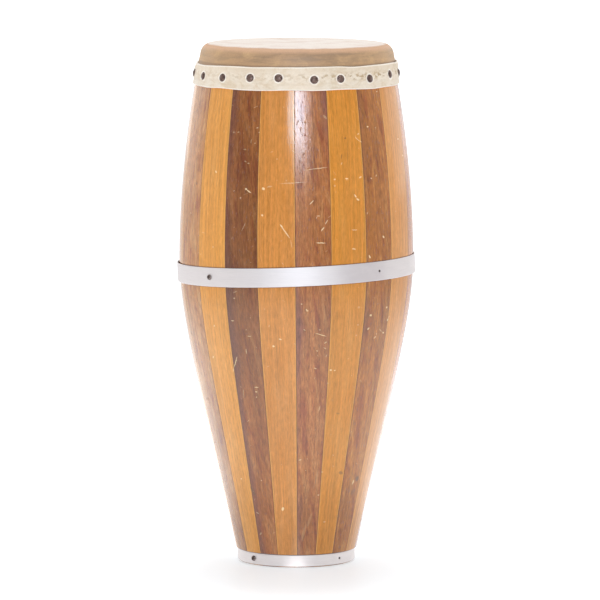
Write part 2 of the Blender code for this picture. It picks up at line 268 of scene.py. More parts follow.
class NodeBench:
    def __init__(self, tree):
        self.tree = tree

    def add(self, kind, sockets=None, **settings):
        made = self.tree.nodes.new("ShaderNode" + kind)
        for key, value in settings.items():
            setattr(made, key, value)
        for key, value in (sockets or {}).items():
            self.feed(made.inputs[key], value)
        return made

    def feed(self, socket, value):
        if isinstance(value, bpy.types.NodeSocket):
            self.tree.links.new(value, socket)
        else:
            socket.default_value = value

    def maths(self, operation, first, second=0.0, third=0.0, clamp=False):
        made = self.add("Math", operation=operation, use_clamp=clamp)
        for socket, value in zip(made.inputs, (first, second, third)):
            self.feed(socket, value)
        return made.outputs[0]

    def vector(self, x, y, z):
        return self.add("CombineXYZ", {0: x, 1: y, 2: z}).outputs[0]

    def split(self, vector):
        return self.add("SeparateXYZ", {0: vector}).outputs

    def spread(self, value, low, high, toLow=0.0, toHigh=1.0, smooth=True):
        kind = "SMOOTHSTEP" if smooth else "LINEAR"
        made = self.add("MapRange", interpolation_type=kind, clamp=True)
        for socket, given in zip(made.inputs, (value, low, high, toLow, toHigh)):
            self.feed(socket, given)
        return made.outputs[0]

    def blend(self, share, first, second, kind="MIX"):
        made = self.add("Mix", data_type="RGBA", blend_type=kind)
        for number, value in ((0, share), (6, first), (7, second)):
            self.feed(made.inputs[number], value)
        return made.outputs[2]

    def grain(self, place, scale, detail=3.0, roughness=0.5, distortion=0.0):
        return self.add("TexNoise", {
            "Vector": place, "Scale": scale, "Detail": detail,
            "Roughness": roughness, "Distortion": distortion,
        }).outputs[0]

    def stretched(self, place, x, y, z):
        return self.add("VectorMath", {0: place, 1: (x, y, z)}, operation="MULTIPLY").outputs[0]

    def shifted(self, place, offset):
        return self.add("VectorMath", {0: place, 1: offset}, operation="ADD").outputs[0]


def startGroup(name, inputs, outputs):
    tree = bpy.data.node_groups.new(name, "ShaderNodeTree")
    for label, kind, start in inputs:
        socket = tree.interface.new_socket(label, in_out="INPUT", socket_type="NodeSocket" + kind)
        if start is not None:
            socket.default_value = start
    for label, kind in outputs:
        tree.interface.new_socket(label, in_out="OUTPUT", socket_type="NodeSocket" + kind)
    given = tree.nodes.new("NodeGroupInput").outputs
    result = tree.nodes.new("NodeGroupOutput").inputs
    return tree, NodeBench(tree), given, result


def useGroup(bench, tree, sockets):
    made = bench.tree.nodes.new("ShaderNodeGroup")
    made.node_tree = tree
    for key, value in sockets.items():
        bench.feed(made.inputs[key], value)
    return made.outputs


def startMaterial(name):
    made = bpy.data.materials.new(name)
    made.use_nodes = True
    bench = NodeBench(made.node_tree)
    shader = made.node_tree.nodes["Principled BSDF"]
    return made, bench, shader


def bumpFrom(bench, height, distance, strength=1.0, under=None):
    made = bench.add("Bump", {"Strength": strength, "Distance": distance, "Height": height})
    if under is not None:
        bench.feed(made.inputs["Normal"], under)
    return made.outputs[0]


# shader groups


def makeDrumPlace():
    # where a point is on the drum: angle from the front in radians, height and radius in metres
    tree, bench, given, result = startGroup(
        "drumPlace", [], [("Angle", "Float"), ("Height", "Float"), ("Radius", "Float")]
    )
    place = bench.add("TexCoord").outputs["Object"]
    x, y, z = bench.split(place)
    angle = bench.maths("ARCTAN2", x, bench.maths("MULTIPLY", y, -1.0))
    radius = bench.maths("SQRT", bench.maths("ADD", bench.maths("MULTIPLY", x, x), bench.maths("MULTIPLY", y, y)))
    bench.feed(result["Angle"], angle)
    bench.feed(result["Height"], z)
    bench.feed(result["Radius"], radius)
    return tree


def makeWoodGrain():
    # fibre, lines, pores and figure of a board whose length runs along Z of its place
    tree, bench, given, result = startGroup(
        "woodGrain",
        [
            ("Place", "Vector", None), ("Seed", "Float", 0.0), ("Slant", "Float", 0.0),
            ("Line Scale", "Float", 600.0), ("Figure Scale", "Float", 40.0), ("Pore Amount", "Float", 0.5),
        ],
        [("Fibre", "Float"), ("Lines", "Float"), ("Pores", "Float"), ("Figure", "Float"), ("Cloud", "Float")],
    )
    shift = bench.vector(bench.maths("MULTIPLY", given["Seed"], 3.1), 0.0, bench.maths("MULTIPLY", given["Seed"], 7.7))
    place = bench.shifted(given["Place"], shift)
    bend = bench.grain(bench.stretched(place, 9.0, 9.0, 4.0), 1.0, 2.0)
    wander = bench.vector(bench.spread(bend, 0.2, 0.8, -0.003, 0.003, smooth=False), 0.0, 0.0)
    place = bench.shifted(place, wander)
    fibre = bench.grain(bench.stretched(place, 1.0, 1.0, 0.18), 500.0, 4.0, 0.72)
    lines = bench.grain(bench.stretched(place, 1.0, 1.0, 0.014), given["Line Scale"], 3.0, 0.6)
    poreCells = bench.grain(bench.stretched(place, 1.0, 1.0, 0.20), 560.0, 1.0)
    edge = bench.spread(given["Pore Amount"], 0.0, 1.0, 0.78, 0.52, smooth=False)
    pores = bench.spread(poreCells, edge, bench.maths("ADD", edge, 0.07))
    slanted = bench.add("Mapping", {
        "Vector": place, "Rotation": bench.vector(0.0, given["Slant"], 0.0), "Scale": (1.0, 1.0, 1.0),
    }).outputs[0]
    figure = bench.grain(bench.stretched(slanted, 1.0, 1.0, 0.16), given["Figure Scale"], 5.0, 0.68, 0.5)
    cloud = bench.grain(bench.stretched(place, 1.0, 1.0, 0.35), 22.0, 3.0)
    for label, value in (("Fibre", fibre), ("Lines", lines), ("Pores", pores), ("Figure", figure), ("Cloud", cloud)):
        bench.feed(result[label], value)
    return tree


def makeScratchMark():
    # one scratch or chip at a known place on the drum: a long spot that fades at its edge
    tree, bench, given, result = startGroup(
        "scratchMark",
        [
            ("Place", "Vector", None), ("At", "Vector", None), ("Turn", "Vector", None),
            ("Half Size", "Vector", None), ("Strength", "Float", 1.0),
        ],
        [("Mark", "Float")],
    )
    local = bench.add("Mapping", {
        "Vector": given["Place"], "Location": given["At"], "Rotation": given["Turn"], "Scale": given["Half Size"],
    }, vector_type="TEXTURE").outputs[0]
    spot = bench.add("TexGradient", {"Vector": local}, gradient_type="SPHERICAL").outputs["Fac"]
    spot = bench.maths("MULTIPLY", spot, 3.0, clamp=True)
    bench.feed(result["Mark"], bench.maths("MULTIPLY", spot, given["Strength"]))
    return tree


def makeScatter():
    # small marks strewn at random: one to a cell, turned at random, in a share of the cells
    tree, bench, given, result = startGroup(
        "strewnMarks",
        [
            ("Unrolled", "Vector", None), ("Cells", "Float", 30.0), ("Share", "Float", 0.4),
            ("Length", "Float", 0.008), ("Width", "Float", 0.0005),
        ],
        [("Mark", "Float")],
    )
    cell = bench.add(
        "TexVoronoi", {"Vector": given["Unrolled"], "Scale": given["Cells"], "Randomness": 1.0},
        voronoi_dimensions="2D",
    )
    local = bench.add("VectorMath", {0: given["Unrolled"], 1: cell.outputs["Position"]}, operation="SUBTRACT").outputs[0]
    x, y, z = bench.split(local)
    red, green, blue = bench.add("SeparateColor", {0: cell.outputs["Color"]}).outputs
    turn = bench.maths("MULTIPLY", red, 2 * math.pi)
    cosine, sine = bench.maths("COSINE", turn), bench.maths("SINE", turn)
    along = bench.maths("ADD", bench.maths("MULTIPLY", x, cosine), bench.maths("MULTIPLY", y, sine))
    aside = bench.maths("SUBTRACT", bench.maths("MULTIPLY", y, cosine), bench.maths("MULTIPLY", x, sine))
    rag = bench.maths("SUBTRACT", bench.grain(given["Unrolled"], 600.0, 2.0), 0.5)
    aside = bench.maths("ABSOLUTE", bench.maths("ADD", aside, bench.maths("MULTIPLY", rag, given["Width"])))
    halfLength = bench.maths("MULTIPLY", bench.maths("MULTIPLY", given["Length"], 0.5), bench.spread(blue, 0.0, 1.0, 0.25, 1.0, smooth=False))
    halfWidth = bench.maths("MULTIPLY", given["Width"], 0.5)
    thin = bench.spread(aside, bench.maths("MULTIPLY", halfWidth, 0.4), halfWidth, 1.0, 0.0)
    within = bench.spread(bench.maths("ABSOLUTE", along), bench.maths("MULTIPLY", halfLength, 0.6), halfLength, 1.0, 0.0)
    here = bench.maths("LESS_THAN", green, given["Share"])
    bench.feed(result["Mark"], bench.maths("MULTIPLY", bench.maths("MULTIPLY", thin, within), here))
    return tree


drumPlace = makeDrumPlace()
woodGrain = makeWoodGrain()
scratchMark = makeScratchMark()
strewnMarks = makeScatter()
print("shader groups built")

# the staves' finish

# each mark: its middle in the picture in pixels, its length and width in mm, its turn in degrees
# from level, and its strength
varnishMarks = [
    (216.0, 171.8, 4.2, 2.8, -50, 0.90),
    (233.9, 132.2, 3.4, 2.0, 0, 0.34),
    (238.4, 132.1, 4.0, 2.2, 20, 0.36),
    (251.2, 141.0, 7.0, 1.9, 75, 0.28),
    (255.0, 143.3, 2.6, 1.9, 0, 0.50),
    (244.8, 149.4, 6.0, 1.9, 0, 0.30),
    (245.6, 161.6, 5.0, 1.5, -12, 0.30),
    (248.4, 163.3, 4.0, 1.8, 0, 0.42),
    (257.5, 127.9, 3.4, 2.0, 35, 0.55),
    (259.2, 132.4, 2.4, 2.0, 0, 0.50),
    (248.9, 191.4, 8.6, 2.3, -35, 0.95),
    (246.0, 189.0, 3.6, 3.0, 0, 1.00),
    (263.3, 188.7, 5.2, 4.0, -25, 0.95),
    (269.6, 186.6, 9.0, 2.4, 10, 0.38),
    (277.0, 159.0, 2.8, 1.8, 0, 0.40),
    (271.8, 152.0, 5.0, 1.1, 20, 0.35),
    (292.5, 182.9, 42.0, 1.1, 4, 0.42),
    (315.8, 168.8, 39.0, 1.1, 6, 0.50),
    (319.5, 168.3, 20.0, 1.4, 5, 0.55),
    (240.5, 198.0, 2.6, 2.2, 0, 0.50),
    (190.7, 213.0, 3.0, 2.2, 0, 0.60),
    (262.2, 215.2, 3.6, 3.2, 0, 0.95),
    (243.5, 227.0, 15.0, 1.1, 62, 0.42),
    (285.3, 232.0, 24.5, 1.8, -54, 0.75),
    (281.4, 226.2, 7.0, 2.0, -50, 1.00),
    (291.3, 244.0, 13.0, 1.6, -80, 0.30),
    (311.6, 202.5, 9.0, 1.5, 48, 0.85),
    (318.5, 216.0, 6.2, 1.5, 0, 0.50),
    (316.6, 217.8, 3.6, 1.3, 70, 0.40),
    (326.6, 222.0, 8.2, 1.4, 58, 0.75),
    (322.6, 229.2, 8.2, 1.6, 52, 0.95),
    (321.0, 243.0, 15.5, 1.4, -3, 1.00),
    (325.0, 117.0, 8.0, 3.4, -45, 0.30),
    (334.7, 179.4, 3.2, 2.5, 0, 0.70),
    (334.8, 185.8, 3.0, 3.0, 0, 0.40),
    (346.8, 178.7, 5.4, 1.9, -5, 1.00),
    (360.4, 177.3, 4.8, 2.3, 25, 0.80),
    (355.4, 196.0, 6.4, 2.3, -52, 1.00),
    (357.9, 199.5, 5.8, 2.8, -30, 1.00),
    (341.6, 163.6, 4.0, 1.5, 60, 0.60),
    (357.4, 139.2, 12.0, 1.4, -40, 0.60),
    (360.6, 141.4, 5.0, 1.6, -36, 0.60),
    (358.2, 134.0, 3.8, 2.2, 40, 0.60),
    (354.5, 230.0, 10.0, 1.4, -4, 0.65),
    (354.0, 249.0, 7.0, 2.3, -12, 0.75),
    (367.6, 126.7, 3.8, 2.3, 0, 0.95),
    (375.5, 127.5, 3.4, 1.9, 30, 0.40),
    (371.3, 178.3, 3.8, 2.1, -30, 0.70),
    (376.3, 175.6, 4.0, 2.1, 50, 0.50),
    (367.5, 213.0, 5.0, 1.3, 60, 0.50),
    (383.6, 236.9, 5.2, 2.9, -50, 1.00),
    (369.8, 256.8, 6.0, 2.5, -55, 1.00),
    (376.8, 91.5, 3.0, 2.2, 0, 0.60),
    (398.2, 139.0, 3.8, 2.8, 0, 1.00),
    (402.8, 155.5, 4.0, 2.8, 0, 0.70),
    (213.0, 247.0, 3.0, 2.1, 0, 0.50),
    (235.0, 292.0, 7.5, 1.9, 25, 0.28),
    (234.2, 298.4, 3.2, 2.3, 0, 0.45),
    (232.6, 320.8, 6.6, 1.5, 0, 0.70),
    (249.3, 336.4, 6.2, 1.3, 0, 0.55),
    (246.2, 329.9, 2.6, 1.8, 0, 0.40),
    (235.6, 362.0, 18.5, 1.6, 72, 1.00),
    (233.3, 370.0, 6.0, 1.5, 88, 0.60),
    (214.2, 325.9, 4.0, 2.8, 60, 0.55),
    (213.2, 357.2, 4.2, 3.0, 80, 0.75),
    (246.3, 351.6, 8.0, 1.5, -82, 0.62),
    (273.5, 346.4, 4.0, 3.2, 0, 1.00),
    (280.2, 339.4, 4.8, 2.1, -20, 0.85),
    (269.1, 326.0, 5.0, 1.7, 80, 0.35),
    (307.0, 310.4, 4.8, 2.7, -40, 0.70),
    (301.5, 304.2, 3.2, 1.9, 0, 0.55),
    (304.5, 329.9, 3.8, 1.9, -40, 0.65),
    (321.0, 334.9, 18.5, 1.4, -17, 0.80),
    (319.9, 329.9, 3.2, 1.5, 0, 0.50),
    (325.4, 342.7, 5.2, 2.1, 30, 0.50),
    (324.9, 348.3, 5.2, 1.7, -30, 0.50),
    (317.1, 351.1, 3.2, 2.1, 0, 0.65),
    (326.3, 356.1, 5.2, 1.3, 70, 0.50),
    (315.2, 368.4, 4.6, 1.9, -20, 0.75),
    (330.8, 370.1, 3.8, 2.7, 0, 1.00),
    (334.7, 370.4, 2.8, 2.3, 0, 0.85),
    (256.3, 387.4, 7.0, 1.5, 0, 0.90),
    (256.3, 391.9, 3.6, 1.9, 0, 0.75),
    (256.5, 397.2, 3.4, 2.2, 60, 0.55),
    (243.4, 393.5, 14.0, 1.1, 88, 0.40),
    (300.0, 460.0, 4.4, 2.7, 20, 0.60),
    (282.8, 509.0, 6.0, 4.2, 84, 1.00),
    (353.2, 482.2, 8.4, 3.2, 66, 0.70),
    (261.5, 480.6, 3.2, 2.1, 0, 0.50),
    (241.2, 478.8, 3.0, 2.4, 0, 0.60),
    (257.6, 513.0, 6.0, 2.2, -30, 0.34),
    (260.6, 533.8, 6.0, 2.8, 60, 0.32),
    (318.4, 495.0, 3.2, 2.2, 0, 0.60),
    (303.5, 533.0, 30.0, 4.6, 76, 0.12),
    (309.5, 520.0, 26.0, 4.0, 72, 0.11),
    (316.1, 478.7, 34.0, 3.6, 76, 0.10),
    (324.4, 521.8, 3.8, 2.6, 0, 0.40),
    (319.4, 408.6, 9.0, 1.8, 74, 0.42),
    (327.8, 383.2, 3.2, 2.0, 0, 0.45),
    (322.2, 472.0, 3.2, 2.2, 0, 0.45),
    (358.9, 307.4, 4.2, 3.4, 0, 0.28),
    (357.9, 324.9, 3.0, 2.2, 0, 0.34),
    (356.3, 335.4, 3.2, 2.4, 0, 0.34),
    (386.7, 307.4, 3.8, 3.0, 0, 0.72),
    (387.6, 319.9, 3.8, 3.2, 50, 0.80),
    (383.2, 332.6, 3.8, 3.0, -30, 0.95),
    (380.6, 330.4, 7.6, 1.8, -40, 0.45),
    (376.5, 334.0, 3.2, 2.0, 70, 0.42),
    (374.9, 337.4, 6.0, 2.6, 32, 0.60),
    (370.8, 315.4, 4.4, 3.4, 0, 0.90),
    (368.3, 328.9, 5.0, 2.8, 48, 0.90),
]
# knots and dark flecks in the wood, given in the same way
woodKnots = [
    (341.5, 156.5, 9.0, 2.2, 80, 0.50),
    (345.3, 138.2, 3.4, 3.0, 0, 0.60),
    (347.6, 152.0, 44.0, 1.1, 89, 0.35),
    (340.8, 472.9, 8.5, 5.4, -15, 0.50),
    (357.2, 478.6, 10.0, 7.6, 40, 0.85),
    (352.9, 491.9, 12.0, 8.0, 50, 0.40),
    (338.0, 413.5, 6.0, 3.2, 0, 0.35),
    (339.7, 547.5, 6.0, 5.0, 0, 0.40),
    (252.9, 491.0, 17.0, 4.6, -58, 0.70),
    (305.4, 106.0, 2.6, 2.4, 0, 0.70),
]

darkWood = dict(
    deep=(0.278, 0.084, 0.034),
    middle=(0.385, 0.147, 0.047),
    light=(0.470, 0.214, 0.080),
    pore=(0.150, 0.052, 0.026),
    purple=(0.235, 0.096, 0.068),  # the heartwood along one side of a board
    seamLine=(0.160, 0.070, 0.040),
    seamLight=0.45,
    lineScale=240.0, figureScale=95.0, poreAmount=0.60, slant=0.14,
    figureRange=(0.34, 0.66), lineStrength=0.20, fibreStrength=0.40, poreStrength=0.66, poreDepth=0.00014,
    cloudRange=(0.88, 1.12), ripple=0.00012, roughness=(0.15, 0.22), gloss=0.50, glossTint=(1.0, 1.0, 1.0),
)
lightWood = dict(
    deep=(0.585, 0.225, 0.032),
    middle=(0.622, 0.252, 0.042),
    light=(0.655, 0.284, 0.058),
    pore=(0.440, 0.150, 0.020),
    seamLine=(0.740, 0.400, 0.120),
    seamLight=0.60,
    lineScale=330.0, figureScale=60.0, poreAmount=0.28, slant=0.0,
    figureRange=(0.30, 0.70), lineStrength=0.19, fibreStrength=0.21, poreStrength=0.50, poreDepth=0.00006,
    cloudRange=(0.97, 1.03), ripple=0.00005, roughness=(0.07, 0.12), gloss=0.38, glossTint=(0.80, 0.97, 1.0),
)
varnish = dict(
    scuffed=0.60,
    paintedFootShade=0.84,  # painted shade: how dark the boards are made at the foot, where the floor's shade falls
    markColour=(0.94, 0.75, 0.44),
    knotColour=(0.150, 0.080, 0.040),
    dirt=(0.090, 0.045, 0.028),  # painted shadow: the dark line along a hoop's edges, and under the foot hoop at the boards' level ends
    bareWood=(0.52, 0.34, 0.20),
    bareDark=(0.40, 0.25, 0.14),
    rag=0.0016,
    strewn=(
        dict(Cells=34.0, Share=0.08, Length=0.010, Width=0.0009),
        dict(Cells=62.0, Share=0.06, Length=0.005, Width=0.0011),
        dict(Cells=120.0, Share=0.035, Length=0.0026, Width=0.0012),
    ),
)


def markedPlaces(bench, place, marks, isDark):
    # the strongest mark at each place, from those that reach a board of this wood
    found = 0.0
    for across, down, length, width, turn, strength in marks:
        angle, height = spotOnShell(across, down)
        radius = shellRadius(height)
        slope = math.radians(turn)
        length, width = length / 1000, width / 1000
        boards = set()
        for share in (-0.4, 0.0, 0.4):
            reach = share * length
            boards.add(boardIsDark(angle + reach * math.cos(slope) / radius, height + reach * math.sin(slope)))
        if isDark not in boards:
            continue
        mark = useGroup(bench, scratchMark, {
            "Place": place, "At": (angle * radius, height, 0.0), "Turn": (0.0, 0.0, slope),
            "Half Size": (length / 2, width / 2, 1.0), "Strength": strength,
        })["Mark"]
        found = bench.maths("MAXIMUM", found, mark)
    return found


def hoopShadowMask(bench, place, size):
    # 1 along the edges of a hoop and under it, whatever its lean: where the painted shadow goes
    up = hoopFrame(size).to_3x3() @ Vector((0, 0, 1))
    off = bench.add("VectorMath", {0: place, 1: up}, operation="DOT_PRODUCT").outputs["Value"]
    off = bench.maths("ABSOLUTE", bench.maths("SUBTRACT", off, size["height"] * up.z))
    return bench.spread(off, size["width"] / 2 + 0.0003, size["width"] / 2 + 0.0017, 1.0, 0.0)


def shadeWood(name, wood, isDark):
    made, bench, shader = startMaterial(name)
    place = bench.add("Attribute", attribute_name="grainPlace").outputs["Vector"]
    seed = bench.add("Attribute", attribute_name="boardSeed").outputs["Fac"]
    tone = bench.add("Attribute", attribute_name="boardToneAndWash").outputs["Vector"]
    seam = bench.add("Attribute", attribute_name="seamDistance").outputs["Fac"]
    acrossBoard, depth, along = bench.split(place)
    spot = useGroup(bench, drumPlace, {})
    slant = bench.spread(seed, 0.0, 1.0, -wood["slant"], wood["slant"], smooth=False)
    grain = useGroup(bench, woodGrain, {
        "Place": place, "Seed": seed, "Slant": slant, "Line Scale": wood["lineScale"],
        "Figure Scale": wood["figureScale"], "Pore Amount": wood["poreAmount"],
    })
    deep, middle, light, pore, seamLine = (
        wood[key] + (1.0,) for key in ("deep", "middle", "light", "pore", "seamLine")
    )
    low, high = wood["figureRange"]
    colour = bench.blend(bench.spread(grain["Figure"], low, 0.5), deep, middle)
    colour = bench.blend(bench.spread(grain["Figure"], 0.5, high), colour, light)
    if isDark:
        edge = bench.add("Attribute", attribute_name="heartDistance").outputs["Fac"]
        edge = bench.maths("ADD", edge, bench.spread(grain["Cloud"], 0.3, 0.7, -0.006, 0.006, smooth=False))
        colour = bench.blend(bench.spread(edge, 0.003, 0.016, 0.80, 0.0), colour, wood["purple"] + (1.0,))
    cloud = bench.spread(grain["Cloud"], 0.3, 0.7, *wood["cloudRange"], smooth=False)
    lines = bench.spread(grain["Lines"], 0.3, 0.7, -wood["lineStrength"], wood["lineStrength"], smooth=False)
    fibre = bench.spread(grain["Fibre"], 0.3, 0.7, -wood["fibreStrength"], wood["fibreStrength"], smooth=False)
    shade = bench.maths("ADD", bench.maths("ADD", lines, fibre), cloud)
    # painted shade: the boards darken towards the foot
    shade = bench.maths("MULTIPLY", shade, bench.spread(spot["Height"], 0.0, 0.14, varnish["paintedFootShade"], 1.0))
    # each board's own tone and hue, and in part a painted wash of reflected light
    toned = bench.add("VectorMath", {0: tone, 1: bench.vector(shade, shade, shade)}, operation="MULTIPLY").outputs[0]
    colour = bench.blend(1.0, colour, toned, "MULTIPLY")
    colour = bench.blend(bench.maths("MULTIPLY", grain["Pores"], wood["poreStrength"]), colour, pore)
    colour = bench.blend(bench.spread(seam, 0.0002, 0.0017, wood["seamLight"], 0.0), colour, seamLine)

    unrolled = bench.vector(bench.maths("MULTIPLY", spot["Angle"], spot["Radius"]), spot["Height"], 0.0)
    rag = bench.add("TexNoise", {"Vector": unrolled, "Scale": 600.0, "Detail": 2.0}).outputs["Color"]
    rag = bench.stretched(bench.shifted(rag, (-0.5, -0.5, -0.5)), varnish["rag"], varnish["rag"], 0.0)
    ragged = bench.add("VectorMath", {0: unrolled, 1: rag}, operation="ADD").outputs[0]
    knots = markedPlaces(bench, ragged, woodKnots, isDark)
    colour = bench.blend(knots, colour, varnish["knotColour"] + (1.0,))
    marks = markedPlaces(bench, ragged, varnishMarks, isDark)
    strewn = 0.0
    for layer in varnish["strewn"]:
        found = useGroup(bench, strewnMarks, {"Unrolled": unrolled, **layer})["Mark"]
        strewn = bench.maths("MAXIMUM", strewn, found)
    strewn = bench.maths("MULTIPLY", strewn, bench.spread(grain["Cloud"], 0.35, 0.7, 0.1, 0.6))
    marks = bench.maths("MAXIMUM", marks, strewn)
    colour = bench.blend(bench.maths("MULTIPLY", marks, 0.74), colour, varnish["markColour"] + (1.0,))
    round = bench.add("TexCoord").outputs["Object"]
    # painted shadow: a dark line along each hoop's edges and under the foot hoop
    dirt = bench.maths("MAXIMUM", hoopShadowMask(bench, round, bellyHoop), hoopShadowMask(bench, round, footHoop))
    colour = bench.blend(bench.maths("MULTIPLY", dirt, 0.65), colour, varnish["dirt"] + (1.0,))

    inside = bench.spread(depth, 0.0012, 0.0030)
    raw = bench.blend(bench.spread(grain["Fibre"], 0.3, 0.7), varnish["bareDark"] + (1.0,), varnish["bareWood"] + (1.0,))
    colour = bench.blend(inside, colour, raw)
    bench.feed(shader.inputs["Base Color"], colour)
    rough = bench.spread(grain["Cloud"], 0.2, 0.8, *wood["roughness"])
    worn = bench.maths("MAXIMUM", bench.maths("MAXIMUM", marks, inside), bench.maths("MULTIPLY", grain["Pores"], 0.7))
    rough = bench.maths("MAXIMUM", rough, bench.maths("MULTIPLY", worn, varnish["scuffed"]))
    bench.feed(shader.inputs["Roughness"], rough)
    shader.inputs["Specular IOR Level"].default_value = wood["gloss"]
    shader.inputs["Specular Tint"].default_value = wood["glossTint"] + (1.0,)
    ripple = bench.grain(bench.stretched(place, 1.0, 1.0, 0.10), 300.0, 4.0, 0.6)
    normal = bumpFrom(bench, ripple, wood["ripple"])
    pits = bench.maths("SUBTRACT", 1.0, bench.maths("MAXIMUM", grain["Pores"], marks))
    normal = bumpFrom(bench, pits, wood["poreDepth"], under=normal)
    bench.feed(shader.inputs["Normal"], normal)
    return made


# the staves

stave = dict(
    firstSeam=-1.2,  # degrees, at the level of the band
    sideDrift=0.84,  # how far the front staves' wider cut pushes the side seams back
    twist=2.72,  # degrees a metre, the staves leaning to the right downwards
    twistFrom=0.66,
    # what the joiner's hand added to a seam: degrees at the head, the belly and the foot
    wander={
        -4: (-1.4, -0.4, -0.8), -3: (0.1, 0.1, 0.5), -2: (0.0, 0.3, 0.1), -1: (-0.3, -0.1, 0.1),
        0: (0.2, 0.2, 0.3), 1: (-0.1, -0.4, -0.2), 2: (0.5, 0.4, -0.7), 3: (0.4, -0.5, 0.1),
        4: (3.6, -0.4, 0.0),
    },
    columns=(-1.0, -0.985, -0.93, -0.75, -0.5, -0.25, 0.0, 0.25, 0.5, 0.75, 0.93, 0.985, 1.0),
    edgeDrop=0.00008,
    innerGap=0.000004,  # the joints close towards the inside, and let no light through
    flatness=0.20,  # the share of the arc across a stave that the joiner left flat
    # how light a board is at the head, the belly and the foot, where 1 is the wood's own colour; the far-side boards'
    # lifts are in part a painted reflection, the pale wash of the bright surroundings in the varnish
    tonesAndWash={
        -5: (1.0, 1.0, 1.0), -4: (1.05, 1.17, 0.92), -3: (1.03, 1.07, 1.09), -2: (0.66, 0.49, 0.92),
        -1: (0.94, 0.96, 1.02), 0: (0.95, 0.93, 0.98), 1: (1.0, 0.97, 1.00), 2: (0.97, 0.92, 1.02),
        3: (0.96, 0.98, 1.0), 4: (1.20, 1.34, 1.15),
    },
    # boards whose hue differs from the rest of their wood: red, green and blue; the paler, bluer tints, most at the
    # far sides, are in part a painted reflection of the bright surroundings in the varnish
    huesAndWash={
        -5: (0.96, 1.06, 1.65), -4: (1.05, 1.24, 1.42), -3: (1.02, 1.11, 1.39), -2: (1.07, 0.98, 0.89),
        -1: (1.0, 1.02, 1.45),
        0: (1.02, 1.0, 1.02), 2: (1.0, 0.94, 0.61), 3: (1.0, 1.06, 1.6), 4: (1.08, 1.08, 1.12),
    },
    # the side of a board that is dark heartwood, at the head, the belly and the foot: -1 is all of its left
    hearts={
        -4: (0.0, 0.0, 0.0), -2: (-1.0, -1.0, -0.8), 0: (1.0, -0.8, -0.4), 2: (-0.7, -0.5, -0.3),
        4: (0.0, 0.0, 0.0),
    },
    rows=84,
    seatDepth=0.0043,
    seatTop=0.0177,
    footBevel=0.001,
    shoulder=0.002,
    bearingRound=0.0135,
    bearingEase=0.001,
    topClearance=0.0018,  # the skin and its gap
    waviness=0.00012,
    pilotRadius=0.0013,
    pilotDepth=0.0125,
    seed=20,
)


bearingWear = dict(
    depth=0.0021, middle=-80.0, start=0.690, full=0.704,
    backDrop=0.0014,  # how much lower the face is at the back and at the right
    rightDrop=0.0008,
)


def smooth(low, high, value):
    share = max(0.0, min(1.0, (value - low) / (high - low)))
    return share * share * (3 - 2 * share)


def alongBoard(values, z):
    # between what a board has at the head, the belly and the foot
    head, belly, foot = values
    if z > shell["bellyHeight"]:
        return belly + (head - belly) * min(1.0, (z - shell["bellyHeight"]) / (0.66 - shell["bellyHeight"]))
    return belly + (foot - belly) * (shell["bellyHeight"] - z) / shell["bellyHeight"]


def seamAngle(number, z):
    wrapped = (number + 10) % shell["staves"] - 10
    nominal = math.radians(stave["firstSeam"] + number * 360.0 / shell["staves"])
    wander = alongBoard(stave["wander"].get(wrapped, (0.0, 0.0, 0.0)), z)
    lean = stave["sideDrift"] * math.sin(nominal) + stave["twist"] * (stave["twistFrom"] - z)
    return nominal + math.radians(lean + wander)


def edgeWear(angle, z):
    # the bearing edge is rounder on the left, where it is more worn
    side = max(0.0, math.cos(angle - math.radians(bearingWear["middle"])))
    return bearingWear["depth"] * side * side * smooth(bearingWear["start"], bearingWear["full"], z)


def settled(point):
    # the head leans back a little and to the right
    reach = shell["headRadius"]
    drop = bearingWear["backDrop"] * (point.y / reach + 1) / 2 + bearingWear["rightDrop"] * (point.x / reach + 1) / 2
    return point - Vector((0, 0, drop * smooth(0.700, 0.722, point.z)))


def boardIsDark(angle, z):
    for number in range(-10, 10):
        if seamAngle(number, z) <= angle < seamAngle(number + 1, z):
            return number % 2 == 0
    return False


def staveProfile():
    # outer radii and heights from foot to head, and the inner depth and height beside each
    seatRadius = shellRadius(stave["seatTop"]) - stave["seatDepth"]
    outer = [
        (seatRadius - stave["footBevel"], 0.0),
        (seatRadius - 0.3 * stave["footBevel"], 0.3 * stave["footBevel"]),
        (seatRadius, stave["footBevel"]),
        (seatRadius, stave["seatTop"] - 0.0001),
    ]
    shoulderTop = stave["seatTop"] + stave["shoulder"]
    centre = (shellRadius(shoulderTop) - stave["shoulder"], shoulderTop)
    outer += arcPoints(centre, stave["shoulder"], -90, -15, 5)
    top = shell["height"] - stave["topClearance"]
    turn = stave["bearingRound"]
    lean = shellLean(top - turn)
    start = top - turn * (1 - math.sin(lean))
    for row in range(stave["rows"] + 1):
        z = shoulderTop + (start - shoulderTop) * row / stave["rows"]
        outer.append((shellRadius(z), z))
    arcCentre = (shellRadius(start) - turn * math.cos(lean), start - turn * math.sin(lean))
    outer += arcPoints(arcCentre, turn, math.degrees(lean), 90, 8)[1:]
    inner = []
    for number, (radius, z) in enumerate(outer):
        level = min(z, top - stave["bearingEase"])
        inner.append((shellRadius(level) - shell["wall"], min(z + 1e-6 * number, top)))
    inner[0] = (inner[0][0] + stave["footBevel"], 0.0)
    inner[-1] = (inner[-1][0] + stave["bearingEase"], top)
    return outer, inner


